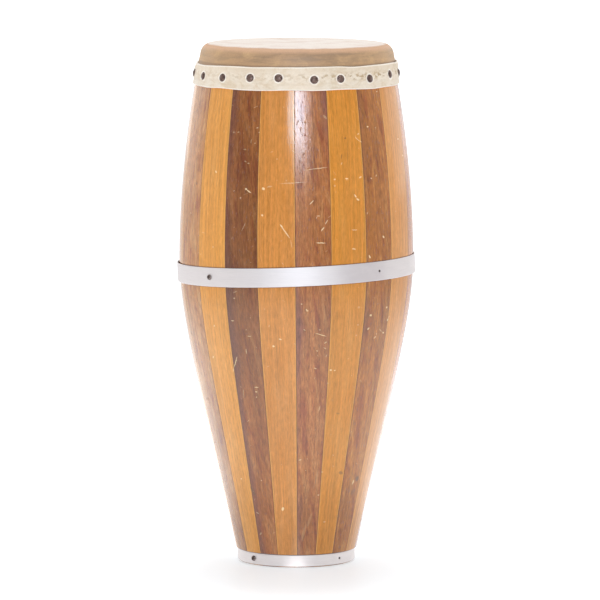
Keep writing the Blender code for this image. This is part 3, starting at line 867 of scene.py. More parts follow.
def makeStave(number, profile, seed, tone, tint, heart):
    outer, inner = profile
    columns = stave["columns"]
    rings, places, seams, tonesAndWash, hearts = [], [], [], [], []
    for (radius, z), (depth, innerZ) in zip(outer, inner):
        start, end = seamAngle(number, z), seamAngle(number + 1, z)
        middle, half = (start + end) / 2, (end - start) / 2
        heartHere = alongBoard(heart, z)
        ring = []
        for column in columns:
            drop = stave["edgeDrop"] if abs(column) == 1.0 else 0.0
            flat = stave["flatness"] * radius * (math.cos(column * half) - math.cos(half))
            angle = middle + column * (half - shell["gap"] / 2 / radius)
            swell = noise.noise(Vector((angle * radius * 45, z * 14, 3.3))) * stave["waviness"]
            ring.append(settled(onDrum(radius - drop - flat + swell - edgeWear(angle, z), angle, z)))
            places.append((column * half * radius, drop, z))
            seams.append((1 - abs(column)) * half * radius)
            fromSide = (1 - math.copysign(column, column * heartHere)) * half * radius
            hearts.append(fromSide + 0.018 * (1 - abs(heartHere)))
        for side in (1.0, 0.5, 0.0, -0.5, -1.0):
            across = side * (depth * math.tan(half) - stave["innerGap"] / 2)
            point = Matrix.Rotation(middle, 3, "Z") @ Vector((across, -depth, innerZ))
            ring.append(settled(point))
            places.append((across, radius - depth, innerZ))
            seams.append(0.02)
            hearts.append(0.03)
        tonesAndWash += [alongBoard(tone, z) * share for share in tint] * len(ring)
        rings.append(ring)
    name = f"stave{number + 1:02d}"
    mesh = bpy.data.meshes.new(name)
    size = len(rings[0])
    points = [point for ring in rings for point in ring]
    faces = []
    for row in range(len(rings) - 1):
        for i in range(size):
            j = (i + 1) % size
            a, b = row * size, (row + 1) * size
            faces.append((a + i, a + j, b + j, b + i))
    faces.append(tuple(range(size))[::-1])
    faces.append(tuple(range(len(points) - size, len(points))))
    mesh.from_pydata(points, [], faces)
    for label, values in (("grainPlace", [value for place in places for value in place]), ("boardToneAndWash", tonesAndWash)):
        mesh.attributes.new(label, "FLOAT_VECTOR", "POINT").data.foreach_set("vector", values)
    for label, values in (
        ("boardSeed", [seed] * len(points)), ("seamDistance", seams), ("heartDistance", hearts),
    ):
        mesh.attributes.new(label, "FLOAT", "POINT").data.foreach_set("value", values)
    bm = bmesh.new()
    bm.from_mesh(mesh)
    bmesh.ops.recalc_face_normals(bm, faces=bm.faces)
    bm.to_mesh(mesh)
    bm.free()
    mesh.shade_smooth()
    mesh.set_sharp_from_angle(angle=math.radians(35))
    isDark = number % 2 == 0
    return addPiece(
        name, mesh, darkFinish if isDark else lightFinish,
        [f"stave_{number + 1:02d}"],
    )


darkFinish = shadeWood("darkWoodVarnished", darkWood, True)
lightFinish = shadeWood("lightWoodVarnished", lightWood, False)
dice = random.Random(stave["seed"])
profile = staveProfile()
staves = []
for number in range(shell["staves"]):
    seed = dice.random()
    wrapped = (number + 10) % shell["staves"] - 10
    chance = 0.82 + 0.25 * dice.random()
    tone = stave["tonesAndWash"].get(wrapped, (chance, chance, chance))
    tint = stave["huesAndWash"].get(wrapped, (1.0, 1.0, 1.0))
    heart = stave["hearts"].get(wrapped, [dice.uniform(-1, 1)] * 3)
    staves.append(makeStave(number, profile, seed, tone, tint, heart))
print("shell coopered from", len(staves), "staves")

# the pilot holes that two lost screws left, in the stave behind each
for size in (bellyHoop, footHoop):
    angle = math.radians(size["screws"][size["lostScrew"]])
    behind = next(
        number for number in range(10)
        if seamAngle(number, size["height"]) <= angle < seamAngle(number + 1, size["height"])
    )
    spot = hoopFrame(size) @ outwardFrame(size["radius"], angle, 0.0)
    boreThrough(staves[behind], [(spot, stave["pilotRadius"], 0.004, stave["pilotDepth"])])
print("pilot holes bored")

# the rawhide skin

skin = dict(
    thickness=0.0015,
    skirtEnd=0.6823,
    sides=240,
    bearingRound=0.0135,
    unevenness=0.00045,
    leanBack=0.0054,  # the face's slope, as the bearing edge's wear gives it
    leanRight=0.0030,
    faceRings=(0.116, 0.108, 0.098, 0.085, 0.070, 0.054, 0.038, 0.022, 0.008),
    face=(0.945, 0.885, 0.830),
    faceStain=(0.905, 0.815, 0.735),
    edge=(0.60, 0.365, 0.225),
    side=(0.42, 0.265, 0.150),
    sideDark=(0.30, 0.200, 0.122),
    sideLight=(0.60, 0.390, 0.205),
    jointShadow=(0.22, 0.145, 0.090),  # painted shadow where the skin comes out of the band
    jointHeight=0.7040,
)


def skinProfile(offset):
    # one side of the skin, from the skirt's end to the middle of the face
    top = shell["height"] - stave["topClearance"]
    turn = skin["bearingRound"]
    lean = shellLean(top - turn)
    start = top - turn * (1 - math.sin(lean))
    centre = (shellRadius(start) - turn * math.cos(lean), start - turn * math.sin(lean))
    points = []
    for row in range(12):
        z = skin["skirtEnd"] + (start - skin["skirtEnd"]) * row / 12
        points.append((shellRadius(z) + offset, z))
    points += arcPoints(centre, turn + offset, math.degrees(lean), 90, 16)
    points += [(radius, centre[1] + turn + offset) for radius in skin["faceRings"] if radius < points[-1][0] - 0.001]
    return points


def skinUnevenness(point):
    # soft lumps over the bearing edge, and creases that run round it
    angle = math.atan2(point.x, -point.y)
    lumps = noise.noise(Vector((math.sin(angle) * 3.2, math.cos(angle) * 3.2, point.z * 30)))
    creases = noise.noise(Vector((math.sin(angle) * 9, math.cos(angle) * 9, point.z * 160)))
    return (lumps + 0.35 * creases) * skin["unevenness"]


def makeSkin():
    outer = skinProfile(shell["gap"] + skin["thickness"])
    inner = skinProfile(shell["gap"])
    points, rows = [], []
    for side, profile in enumerate((outer, inner)):
        for radius, z in profile:
            row = []
            for step in range(skin["sides"]):
                angle = 2 * math.pi * step / skin["sides"]
                point = onDrum(radius - edgeWear(angle, z) * smooth(0.10, 0.12, radius), angle, z)
                if side == 0 and z > skin["skirtEnd"] + 0.012:
                    lift = skinUnevenness(point)
                    flat = max(0.0, min(1.0, (radius - 0.10) / 0.02))
                    point += Vector((point.x, point.y, 0)).normalized() * lift * flat
                    point.z += min(lift, 0.0) * 0.6
                row.append(len(points))
                points.append(settled(point))
            rows.append(row)
    faces = []
    count = len(outer)

    def skinOver(first, second):
        for i in range(skin["sides"]):
            j = (i + 1) % skin["sides"]
            faces.append((first[i], first[j], second[j], second[i]))

    for row in range(count - 1):
        skinOver(rows[row], rows[row + 1])
        skinOver(rows[count + row], rows[count + row + 1])
    skinOver(rows[0], rows[count])
    faces.append(tuple(rows[count - 1]))
    faces.append(tuple(rows[2 * count - 1]))
    mesh = bpy.data.meshes.new("rawhideSkin")
    mesh.from_pydata(points, [], faces)
    tidyNormals(mesh, 50.0)
    return addPiece("rawhideSkin", mesh, shadeSkin(), ["head_skin"])


def shadeSkin():
    made, bench, shader = startMaterial("rawhideHead")
    spot = useGroup(bench, drumPlace, {})
    place = bench.add("TexCoord").outputs["Object"]
    mottle = bench.grain(bench.stretched(place, 1.0, 1.0, 2.0), 26.0, 5.0, 0.6, 0.4)
    streak = bench.grain(bench.stretched(place, 1.0, 1.0, 9.0), 22.0, 4.0, 0.6, 0.3)
    speck = bench.grain(place, 420.0, 3.0, 0.6)
    side = bench.blend(bench.spread(streak, 0.32, 0.62), skin["sideDark"] + (1.0,), skin["side"] + (1.0,))
    side = bench.blend(bench.spread(mottle, 0.45, 0.75, 0.0, 0.7), side, skin["sideLight"] + (1.0,))
    x, y, z = bench.split(place)
    low = bench.spread(spot["Height"], 0.704, 0.713, 0.18, 0.0)
    # lighter towards the left and right as seen from the front: a painted sheen where the shoulder turns away
    away = bench.spread(bench.maths("ABSOLUTE", x), 0.055, 0.120, 0.0, 0.30)
    side = bench.blend(bench.maths("MAXIMUM", low, away), side, skin["sideLight"] + (1.0,))
    # painted shadow: a dark line where the skin comes out of the band
    joint = bench.spread(spot["Height"], skin["jointHeight"] + 0.0006, skin["jointHeight"] + 0.0030, 0.60, 0.0)
    side = bench.blend(joint, side, skin["jointShadow"] + (1.0,))
    # height below the face, which leans
    lean = bench.maths("ADD", bench.maths("MULTIPLY", y, skin["leanBack"]), bench.maths("MULTIPLY", x, skin["leanRight"]))
    wobble = bench.spread(mottle, 0.2, 0.8, -0.0009, 0.0009, smooth=False)
    height = bench.maths("ADD", bench.maths("ADD", spot["Height"], lean), wobble)
    side = bench.blend(bench.spread(height, 0.7196, 0.7268), side, skin["edge"] + (1.0,))
    face = bench.blend(bench.spread(mottle, 0.4, 0.7), skin["face"] + (1.0,), skin["faceStain"] + (1.0,))
    colour = bench.blend(bench.spread(height, 0.7272, 0.7293), side, face)
    grit = bench.spread(speck, 0.3, 0.7, 0.93, 1.06, smooth=False)
    colour = bench.blend(1.0, colour, bench.vector(grit, grit, grit), "MULTIPLY")
    bench.feed(shader.inputs["Base Color"], colour)
    dull = bench.spread(height, 0.7255, 0.7285, 0.0, 0.26)
    rough = bench.maths("ADD", bench.spread(mottle, 0.2, 0.8, 0.45, 0.65), dull)
    bench.feed(shader.inputs["Roughness"], rough)
    shader.inputs["Specular IOR Level"].default_value = 0.4
    normal = bumpFrom(bench, mottle, 0.0006)
    normal = bumpFrom(bench, speck, 0.00008, under=normal)
    bench.feed(shader.inputs["Normal"], normal)
    return made


makeSkin()
print("skin stretched over the bearing edge")

# the tacks, whose places the band needs too

tack = dict(
    radius=0.00555,
    rise=0.0024,
    shank=0.0011,
    length=0.0127,
    sides=36,
    steps=9,
    rim=0.0006,
    colour=(0.070, 0.040, 0.034),
    worn=(0.230, 0.150, 0.120),
)


def tackSpots():
    # angle and height of the middle of each tack's crown, from the frame
    spots = []
    for number in range(shell["staves"]):
        low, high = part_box(f"tack_{number + 1:02d}")
        mesh = frame["nodes"][f"tack_{number + 1:02d}"].data
        points = [v.co for v in mesh.vertices]
        far = max(math.hypot(p.x, p.y) for p in points)
        crown = [p for p in points if math.hypot(p.x, p.y) > far - 0.0045]
        middle = sum(crown, Vector()) / len(crown)
        spots.append((math.atan2(middle.x, -middle.y), middle.z))
    return spots


tacks = tackSpots()
tackLine = sum(z for angle, z in tacks) / len(tacks)
print("tack line at", round(tackLine, 4))

# the rawhide band

band = dict(
    height=0.032,
    thickness=0.0018,
    lift=(0.0003, 0.0013),  # how far its top stands off on the left and on the right
    skirtEnd=0.6823,
    sides=480,
    edgeWave=0.0011,
    leftDip=0.0026,  # how far its top has slipped down beside the worn edge
    swell=0.0005,
    dimple=0.0072,
    cream=(0.735, 0.633, 0.508),
    pale=(0.790, 0.713, 0.606),
    beige=(0.640, 0.510, 0.360),
    stain=(0.46, 0.33, 0.19),
    ring=(0.96, 0.90, 0.83),
)


def bandInnerRadius(z, angle):
    # down on the wood, over the skirt, and off the skin above the tacks
    gap, over = shell["gap"], 2 * shell["gap"] + skin["thickness"]
    liftStart = tackLine + 0.007
    top = tackLine + band["height"] / 2
    if z < band["skirtEnd"] - skin["thickness"]:
        return shellRadius(z) + gap
    if z < band["skirtEnd"]:
        share = (z - band["skirtEnd"] + skin["thickness"]) / skin["thickness"]
        return shellRadius(z) + gap + (over - gap) * share
    share = max(0.0, (z - liftStart) / (top - liftStart))
    least, most = band["lift"]
    lift = least + (most - least) * (0.5 + 0.5 * math.sin(angle))
    return shellRadius(z) + over + lift * share - edgeWear(angle, z)


def tackDistance(angle, z):
    nearest = 1.0
    for tackAngle, tackZ in tacks:
        turn = (angle - tackAngle + math.pi) % (2 * math.pi) - math.pi
        if abs(turn) < 0.3:
            nearest = min(nearest, math.hypot(turn * shellRadius(z), z - tackZ))
    return nearest


def bandEdges(angle):
    sway = Vector((math.sin(angle), math.cos(angle), 0.0))
    low = tackLine - band["height"] / 2 + noise.noise(sway * 4.1 + Vector((0, 0, 1.5))) * band["edgeWave"]
    high = tackLine + band["height"] / 2 + noise.noise(sway * 4.7 + Vector((0, 0, 6.5))) * band["edgeWave"]
    left = max(0.0, math.cos(angle - math.radians(bearingWear["middle"])))
    return low, high - band["leftDip"] * left**6


def makeBand():
    levels = [0.0, 0.012, 0.03, 0.07, 0.12, 0.18, 0.24, 0.30, 0.36, 0.42, 0.48, 0.54, 0.60, 0.66,
              0.72, 0.78, 0.84, 0.90, 0.94, 0.97, 0.988, 1.0]
    rings = []
    for step in range(band["sides"]):
        angle = 2 * math.pi * step / band["sides"]
        sway = Vector((math.sin(angle), math.cos(angle), 0.0))
        lowEdge, highEdge = bandEdges(angle)
        curl = 0.5 + noise.noise(sway * 3.0 + Vector((0, 0, 9.5)))
        outer, inner = [], []
        for share in levels:
            z = lowEdge + (highEdge - lowEdge) * share
            base = bandInnerRadius(z, angle)
            away = smooth(0.0056, band["dimple"] + 0.003, tackDistance(angle, z))
            lip = smooth(0.0056, 0.0068, tackDistance(angle, z)) - smooth(0.0068, 0.0095, tackDistance(angle, z))
            swell = (band["swell"] * away + 0.0004 * lip) * smooth(0.0, 0.2, share) * smooth(0.0, 0.2, 1 - share)
            swell += 0.0007 * curl * (smooth(0.8, 1.0, share) + 0.6 * smooth(0.8, 1.0, 1 - share))
            swell += 0.00012 * noise.noise(Vector((sway.x * 22, sway.y * 22, z * 160)))
            ease = 0.0005 * (1 - smooth(0.0, 0.03, share)) + 0.0005 * (1 - smooth(0.0, 0.03, 1 - share))
            outer.append(onDrum(base + band["thickness"] + swell - ease, angle, z))
            inner.append(onDrum(base, angle, z))
        rings.append(inner + outer[::-1])
    mesh = meshFromRings("rawhideBand", rings, capEnds=False, closeLoop=True)
    tidyNormals(mesh, 60.0)
    reach, rims = [], []
    for vertex in mesh.vertices:
        angle = math.atan2(vertex.co.x, -vertex.co.y)
        low, high = bandEdges(angle)
        reach.append(tackDistance(angle, vertex.co.z))
        rims.append(min(vertex.co.z - low, high - vertex.co.z))
    for label, values in (("tackDistance", reach), ("rimDistance", rims)):
        mesh.attributes.new(label, "FLOAT", "POINT").data.foreach_set("value", values)
    return addPiece("rawhideBand", mesh, shadeBand(), ["head_band"])


def shadeBand():
    made, bench, shader = startMaterial("rawhideBand")
    spot = useGroup(bench, drumPlace, {})
    place = bench.add("TexCoord").outputs["Object"]
    mottle = bench.grain(place, 60.0, 5.0, 0.62, 0.5)
    blots = bench.grain(bench.stretched(place, 1.0, 1.0, 1.6), 170.0, 3.0, 0.6)
    speck = bench.grain(place, 600.0, 3.0, 0.6)
    colour = bench.blend(bench.spread(mottle, 0.35, 0.7), band["cream"] + (1.0,), band["pale"] + (1.0,))
    smear = bench.grain(bench.stretched(place, 1.0, 1.0, 1.9), 42.0, 4.0, 0.65, 0.8)
    colour = bench.blend(bench.spread(smear, 0.44, 0.68, 0.0, 0.75), colour, band["beige"] + (1.0,))
    upper = bench.spread(spot["Height"], tackLine + 0.002, tackLine + 0.012, 0.0, 0.30)
    colour = bench.blend(upper, colour, band["beige"] + (1.0,))
    offLine = bench.maths("ABSOLUTE", bench.maths("SUBTRACT", spot["Height"], tackLine + 0.0020))
    nearLine = bench.spread(offLine, 0.001, 0.0085, 1.0, 0.0)
    dirt = bench.maths("MULTIPLY", bench.spread(blots, 0.48, 0.60), nearLine)
    right = bench.spread(bench.split(place)[0], -0.04, 0.07, 0.40, 0.95)
    dirt = bench.maths("MULTIPLY", dirt, bench.maths("MULTIPLY", right, bench.spread(mottle, 0.35, 0.55, 0.25, 1.0)))
    colour = bench.blend(dirt, colour, band["stain"] + (1.0,))
    reach = bench.add("Attribute", attribute_name="tackDistance").outputs["Fac"]
    ring = bench.maths("MULTIPLY", bench.spread(reach, 0.0050, 0.0058), bench.spread(reach, 0.0064, 0.0082, 1.0, 0.0))
    ring = bench.maths("MULTIPLY", ring, bench.spread(blots, 0.38, 0.55, 0.35, 1.0))
    # a pale ring round each tack; along the band's top and bottom rims the pale colour is a painted highlight
    rim = bench.add("Attribute", attribute_name="rimDistance").outputs["Fac"]
    ring = bench.maths("MAXIMUM", ring, bench.spread(rim, 0.0006, 0.0022, 0.8, 0.0))
    colour = bench.blend(bench.maths("MULTIPLY", ring, 0.85), colour, band["ring"] + (1.0,))
    grit = bench.spread(speck, 0.3, 0.7, 0.95, 1.05, smooth=False)
    colour = bench.blend(1.0, colour, bench.vector(grit, grit, grit), "MULTIPLY")
    bench.feed(shader.inputs["Base Color"], colour)
    bench.feed(shader.inputs["Roughness"], bench.spread(mottle, 0.2, 0.8, 0.5, 0.7))
    normal = bumpFrom(bench, mottle, 0.0005)
    normal = bumpFrom(bench, blots, 0.0002, under=normal)
    bench.feed(shader.inputs["Normal"], normal)
    return made


makeBand()
print("band wrapped")


def domeProfile(radius, rise, steps, rim):
    # a round head from its middle out to its rim, then under it
    sphere = (radius**2 + rise**2) / (2 * rise)
    reach = 2 * math.atan(rise / radius)
    points = []
    for step in range(steps):
        angle = reach * step / steps
        points.append((sphere * math.sin(angle), rise - sphere * (1 - math.cos(angle))))
    points += [(radius, rim * 0.4), (radius * 0.995, 0.0)]
    return points


def headedPiece(name, cap, shank, length, sides):
    # a domed head with its shank, turned about Z, its seat at 0
    points, faces = [], []
    profile = cap + [(shank, 0.0), (shank, -length * 0.6), (shank * 0.25, -length)]
    rows = []
    for radius, z in profile:
        if radius < 1e-6:
            rows.append([len(points)] * sides)
            points.append(Vector((0, 0, z)))
        else:
            rows.append(list(range(len(points), len(points) + sides)))
            for side in range(sides):
                angle = 2 * math.pi * side / sides
                points.append(Vector((radius * math.cos(angle), radius * math.sin(angle), z)))
    for first, second in zip(rows, rows[1:]):
        for i in range(sides):
            j = (i + 1) % sides
            if first[i] == first[j]:
                faces.append((first[i], second[i], second[j]))
            else:
                faces.append((first[i], second[i], second[j], first[j]))
    faces.append(tuple(rows[-1]))
    mesh = bpy.data.meshes.new(name)
    mesh.from_pydata(points, [], faces)
    tidyNormals(mesh, 40.0)
    return mesh


def shadeTack():
    made, bench, shader = startMaterial("tackOldIron")
    place = bench.add("TexCoord").outputs["Object"]
    info = bench.add("Attribute", attribute_name="tackSeed").outputs["Fac"]
    moved = bench.shifted(place, bench.vector(info, 0.0, 0.0))
    rust = bench.grain(moved, 420.0, 4.0, 0.6)
    pits = bench.grain(moved, 1500.0, 2.0, 0.5)
    crown = bench.spread(bench.split(place)[2], 0.0013, 0.0024, 0.0, 0.55)
    worn = bench.maths("MAXIMUM", bench.spread(rust, 0.42, 0.68, 0.0, 0.85), crown)
    colour = bench.blend(worn, tack["colour"] + (1.0,), tack["worn"] + (1.0,))
    bench.feed(shader.inputs["Base Color"], colour)
    bench.feed(shader.inputs["Metallic"], bench.spread(rust, 0.3, 0.7, 0.8, 0.35))
    bench.feed(shader.inputs["Roughness"], bench.spread(pits, 0.3, 0.7, 0.36, 0.55))
    bench.feed(shader.inputs["Normal"], bumpFrom(bench, pits, 0.00006))
    return made


def makeTacks():
    finish = shadeTack()
    for number, (angle, z) in enumerate(tacks):
        cap = domeProfile(tack["radius"], tack["rise"], tack["steps"], tack["rim"])
        mesh = headedPiece(f"tack{number + 1:02d}", cap, tack["shank"], tack["length"], tack["sides"])
        for vertex in mesh.vertices:
            dent = noise.noise(vertex.co * 260 + Vector((number * 3.7, 0, 0)))
            if vertex.co.z > 0.0004:
                vertex.co.z += dent * 0.00025
        seedLayer = mesh.attributes.new("tackSeed", "FLOAT", "POINT")
        seedLayer.data.foreach_set("value", [number * 0.37] * len(mesh.vertices))
        seat = bandInnerRadius(z, angle) + band["thickness"] + 0.00015
        spot = outwardFrame(seat, angle, z, shellLean(z), turn=number * 0.7)
        addPiece(f"tack{number + 1:02d}", mesh, finish, [f"tack_{number + 1:02d}"], spot)


makeTacks()
print("tacks driven:", len(tacks))

# the hoops

hoop = dict(
    thickness=0.0015,
    edge=0.00035,
    sides=360,
    lapAngle=170.0,
    lapLength=0.028,
    joggle=0.012,
    rivetSpacing=0.014,
    holeRadius=0.0018,
    silver=(0.655, 0.607, 0.597),
    shade=(0.602, 0.558, 0.552),
    dull=(0.562, 0.514, 0.516),  # the belly hoop's right side is darker: a painted darker reflection
    metal=0.90,
)
def makeHoop(size, finish):
    lap = math.radians(hoop["lapAngle"])
    halfLap = hoop["lapLength"] / 2 / size["radius"]
    joggle = hoop["joggle"] / size["radius"]
    start, end = lap - halfLap, lap + halfLap + 2 * math.pi
    stepEnd = lap - halfLap + 2 * math.pi
    stepStart = stepEnd - joggle
    edge, width, thick = hoop["edge"], size["width"], hoop["thickness"]
    rings = []
    steps = hoop["sides"]
    for step in range(steps + 1):
        angle = start + (end - start) * step / steps
        share = smooth(stepStart, stepEnd, angle)
        inside = size["radius"] + (thick + shell["gap"]) * share
        wave = noise.noise(Vector((math.sin(angle) * 7, math.cos(angle) * 7, size["radius"] * 40)))
        inside += 0.00012 * (wave + 0.3)
        low, high = -width / 2, width / 2
        corners = [
            (inside, low + edge), (inside + edge, low), (inside + thick - edge, low), (inside + thick, low + edge),
            (inside + thick + 0.00008, low / 2), (inside + thick, 0.0), (inside + thick + 0.00008, high / 2),
            (inside + thick, high - edge), (inside + thick - edge, high), (inside + edge, high), (inside, high - edge),
            (inside, 0.0),
        ]
        rings.append([onDrum(radius, angle, z) for radius, z in corners])
    mesh = meshFromRings(size["name"] + "Hoop", rings)
    tidyNormals(mesh, 30.0)
    mesh.transform(hoopFrame(size))
    mesh.materials.append(finish)
    piece = addPiece(size["name"] + "Hoop", mesh, finish, [size["name"] + "_hoop"])
    bores = []
    for turn in size["screws"]:
        angle = math.radians(turn)
        spot = hoopFrame(size) @ outwardFrame(size["radius"], angle, 0.0)
        bores.append((spot, hoop["holeRadius"], 0.01, 0.004))
    boreThrough(piece, bores)
    return piece


def shadeHoop():
    made, bench, shader = startMaterial("aluminiumStrip")
    spot = useGroup(bench, drumPlace, {})
    place = bench.add("TexCoord").outputs["Object"]
    along = bench.maths("MULTIPLY", spot["Angle"], 4.0)
    streak = bench.grain(bench.vector(along, bench.maths("MULTIPLY", spot["Height"], 1400.0), 0.0), 1.0, 5.0, 0.75)
    smudge = bench.grain(bench.stretched(place, 1.0, 1.0, 2.0), 45.0, 4.0, 0.6)
    colour = bench.blend(bench.spread(streak, 0.35, 0.65), hoop["shade"] + (1.0,), hoop["silver"] + (1.0,))
    colour = bench.blend(bench.spread(smudge, 0.5, 0.8, 0.0, 0.3), colour, hoop["shade"] + (1.0,))
    # painted reflection: a darker patch on the belly hoop's right side
    dull = bench.maths("MULTIPLY", bench.spread(spot["Angle"], 0.28, 0.48), bench.spread(spot["Angle"], 0.72, 0.90, 1.0, 0.0))
    dull = bench.maths("MULTIPLY", dull, bench.spread(spot["Height"], 0.1, 0.3))
    colour = bench.blend(bench.maths("MULTIPLY", dull, bench.spread(smudge, 0.3, 0.6, 0.7, 1.0)), colour, hoop["dull"] + (1.0,))
    bench.feed(shader.inputs["Base Color"], colour)
    shader.inputs["Metallic"].default_value = hoop["metal"]
    rough = bench.spread(smudge, 0.2, 0.8, 0.52, 0.60)
    bench.feed(shader.inputs["Roughness"], rough)
    bench.feed(shader.inputs["Normal"], bumpFrom(bench, streak, 0.000008))
    return made


hoopFinish = shadeHoop()
bellyStrip = makeHoop(bellyHoop, hoopFinish)
footStrip = makeHoop(footHoop, hoopFinish)
print("hoops on")

# the screws and the rivets

screw = dict(
    radius=0.0038,
    rise=0.0032,
    shank=0.0015,
    length=0.0127,
    slotWidth=0.0009,
    slotDepth=0.0011,
    slotTurns=(25.0, 70.0, -35.0),
    colour=(0.075, 0.050, 0.043),
    bright=(0.300, 0.245, 0.220),
)
rivet = dict(radius=0.0026, rise=0.0012, shank=0.0011)


def shadeSmallMetal(name, dull, bright, metallic):
    made, bench, shader = startMaterial(name)
    place = bench.add("TexCoord").outputs["Object"]
    wear = bench.grain(place, 500.0, 4.0, 0.6)
    bench.feed(shader.inputs["Base Color"], bench.blend(bench.spread(wear, 0.45, 0.7), dull + (1.0,), bright + (1.0,)))
    shader.inputs["Metallic"].default_value = metallic
    bench.feed(shader.inputs["Roughness"], bench.spread(wear, 0.3, 0.7, 0.32, 0.5))
    bench.feed(shader.inputs["Normal"], bumpFrom(bench, wear, 0.00004))
    return made


def makeScrews(size, finish):
    seat = size["radius"] + hoop["thickness"] + 0.00015
    kept = [turn for hole, turn in enumerate(size["screws"]) if hole != size["lostScrew"]]
    for number, turn in enumerate(kept):
        angle = math.radians(turn)
        cap = domeProfile(screw["radius"], screw["rise"], 8, 0.0004)
        mesh = headedPiece("screw", cap, screw["shank"], screw["length"], 32)
        name = f"{size['name']}Screw{number + 1}"
        turn = math.radians(screw["slotTurns"][number])
        piece = addPiece(name, mesh, finish, [f"{size['name']}_screw_{number + 1}"])
        bm = bmesh.new()
        shape = Matrix.Diagonal((screw["slotWidth"], 3 * screw["radius"], 2 * screw["slotDepth"], 1))
        bmesh.ops.create_cube(bm, size=1.0, matrix=Matrix.Translation((0, 0, screw["rise"])) @ shape)
        slotMesh = bpy.data.meshes.new("slot")
        bm.to_mesh(slotMesh)
        bm.free()
        cutter = bpy.data.objects.new("slot", slotMesh)
        bpy.context.scene.collection.objects.link(cutter)
        cut = piece.modifiers.new("slot", "BOOLEAN")
        cut.object = cutter
        graph = bpy.context.evaluated_depsgraph_get()
        piece.data = bpy.data.meshes.new_from_object(piece.evaluated_get(graph), depsgraph=graph)
        piece.modifiers.clear()
        bpy.data.objects.remove(cutter)
        piece.matrix_world = hoopFrame(size) @ outwardFrame(seat, angle, 0.0, turn=turn)


def makeRivets(size, finish):
    seat = size["radius"] + 2 * hoop["thickness"] + shell["gap"] + 0.00015
    for number, side in enumerate((-1, 1)):
        angle = math.radians(hoop["lapAngle"]) + side * hoop["rivetSpacing"] / 2 / size["radius"]
        cap = domeProfile(rivet["radius"], rivet["rise"], 7, 0.0003)
        mesh = headedPiece("rivet", cap, rivet["shank"], 0.0030, 28)
        spot = hoopFrame(size) @ outwardFrame(seat, angle, 0.0)
        name = f"{size['name']}Rivet{number + 1}"
        addPiece(name, mesh, finish, [f"{size['name']}_rivet_{number + 1}"], spot)


screwFinish = shadeSmallMetal("screwSteel", screw["colour"], screw["bright"], 0.8)
rivetFinish = shadeSmallMetal("rivetAluminium", hoop["shade"], hoop["silver"], 1.0)
for size in (bellyHoop, footHoop):
    makeScrews(size, screwFinish)
    makeRivets(size, rivetFinish)
print("screws and rivets in")

# the studio

studio = dict(
    floorSize=40.0,
    floorLevel=-0.0003,
    floorColour=(0.59, 0.605, 0.63),
    glowColour=(0.955, 0.985, 1.0),
    nearGlow=0.42,  # added for the camera, less just before the drum, which paints a shadow there, and more far from it
    shadeAhead=0.15,
    farGlow=0.85,
    footShine=1.00,  # painted reflection: the floor's glow for gloss only, at the foot, round the drum, and farther off
    nearShine=2.00,
    streakShine=1.55,  # and of the painted bright streak before it, which puts a highlight in the foot hoop
    frontShine=0.15,
    backShine=0.60,
    worldLight=0.48,
    darkRoom=0.30,  # what gloss sees of the room in front
    aim=(0.0, 0.0, 0.50),
)
# each lamp stands round the drum: degrees from the front, metres, and its brightness where white is 1;
# sees says which of the drum's finishes it reaches: the colour, the gloss or both
lamps = [
    dict(name="shineEdge", azimuth=-6.9, distance=1.60, height=1.00, wide=0.21, tall=0.30, brightness=14.0,
         colour=(0.66, 0.85, 1.0), sees="gloss"),
    dict(name="shineHigh", azimuth=3.9, distance=1.60, height=1.00, wide=0.37, tall=0.30, brightness=28.5,
         colour=(0.72, 0.85, 1.0), sees="gloss"),
    dict(name="shineLow", azimuth=4.0, distance=1.60, height=0.79, wide=0.60, tall=0.16, brightness=5.6,
         colour=(0.80, 0.86, 0.96), sees="gloss"),
    dict(name="topBox", azimuth=0.0, distance=0.02, height=2.40, wide=2.0, tall=2.0, brightness=1.55,
         colour=(1.0, 1.0, 1.0), sees="both"),
    dict(name="leftBack", azimuth=-142.0, distance=2.4, height=1.25, wide=2.0, tall=1.7, brightness=0.55,
         colour=(1.0, 1.0, 1.0), sees="both"),
    dict(name="rightBack", azimuth=140.0, distance=2.4, height=1.25, wide=2.0, tall=1.7, brightness=0.55,
         colour=(1.0, 1.0, 1.0), sees="both"),
    dict(name="frontKey", azimuth=0.0, distance=3.0, height=0.40, wide=1.2, tall=0.8, brightness=6.0,
         colour=(1.0, 1.0, 1.0), sees="colour"),
    dict(name="leftKey", azimuth=-62.0, distance=3.0, height=0.45, wide=1.2, tall=0.9, brightness=10.6,
         colour=(1.0, 1.0, 1.0), sees="colour"),
    dict(name="rightKey", azimuth=62.0, distance=3.0, height=0.45, wide=1.2, tall=0.9, brightness=9.8,
         colour=(1.0, 1.0, 1.0), sees="colour"),
]


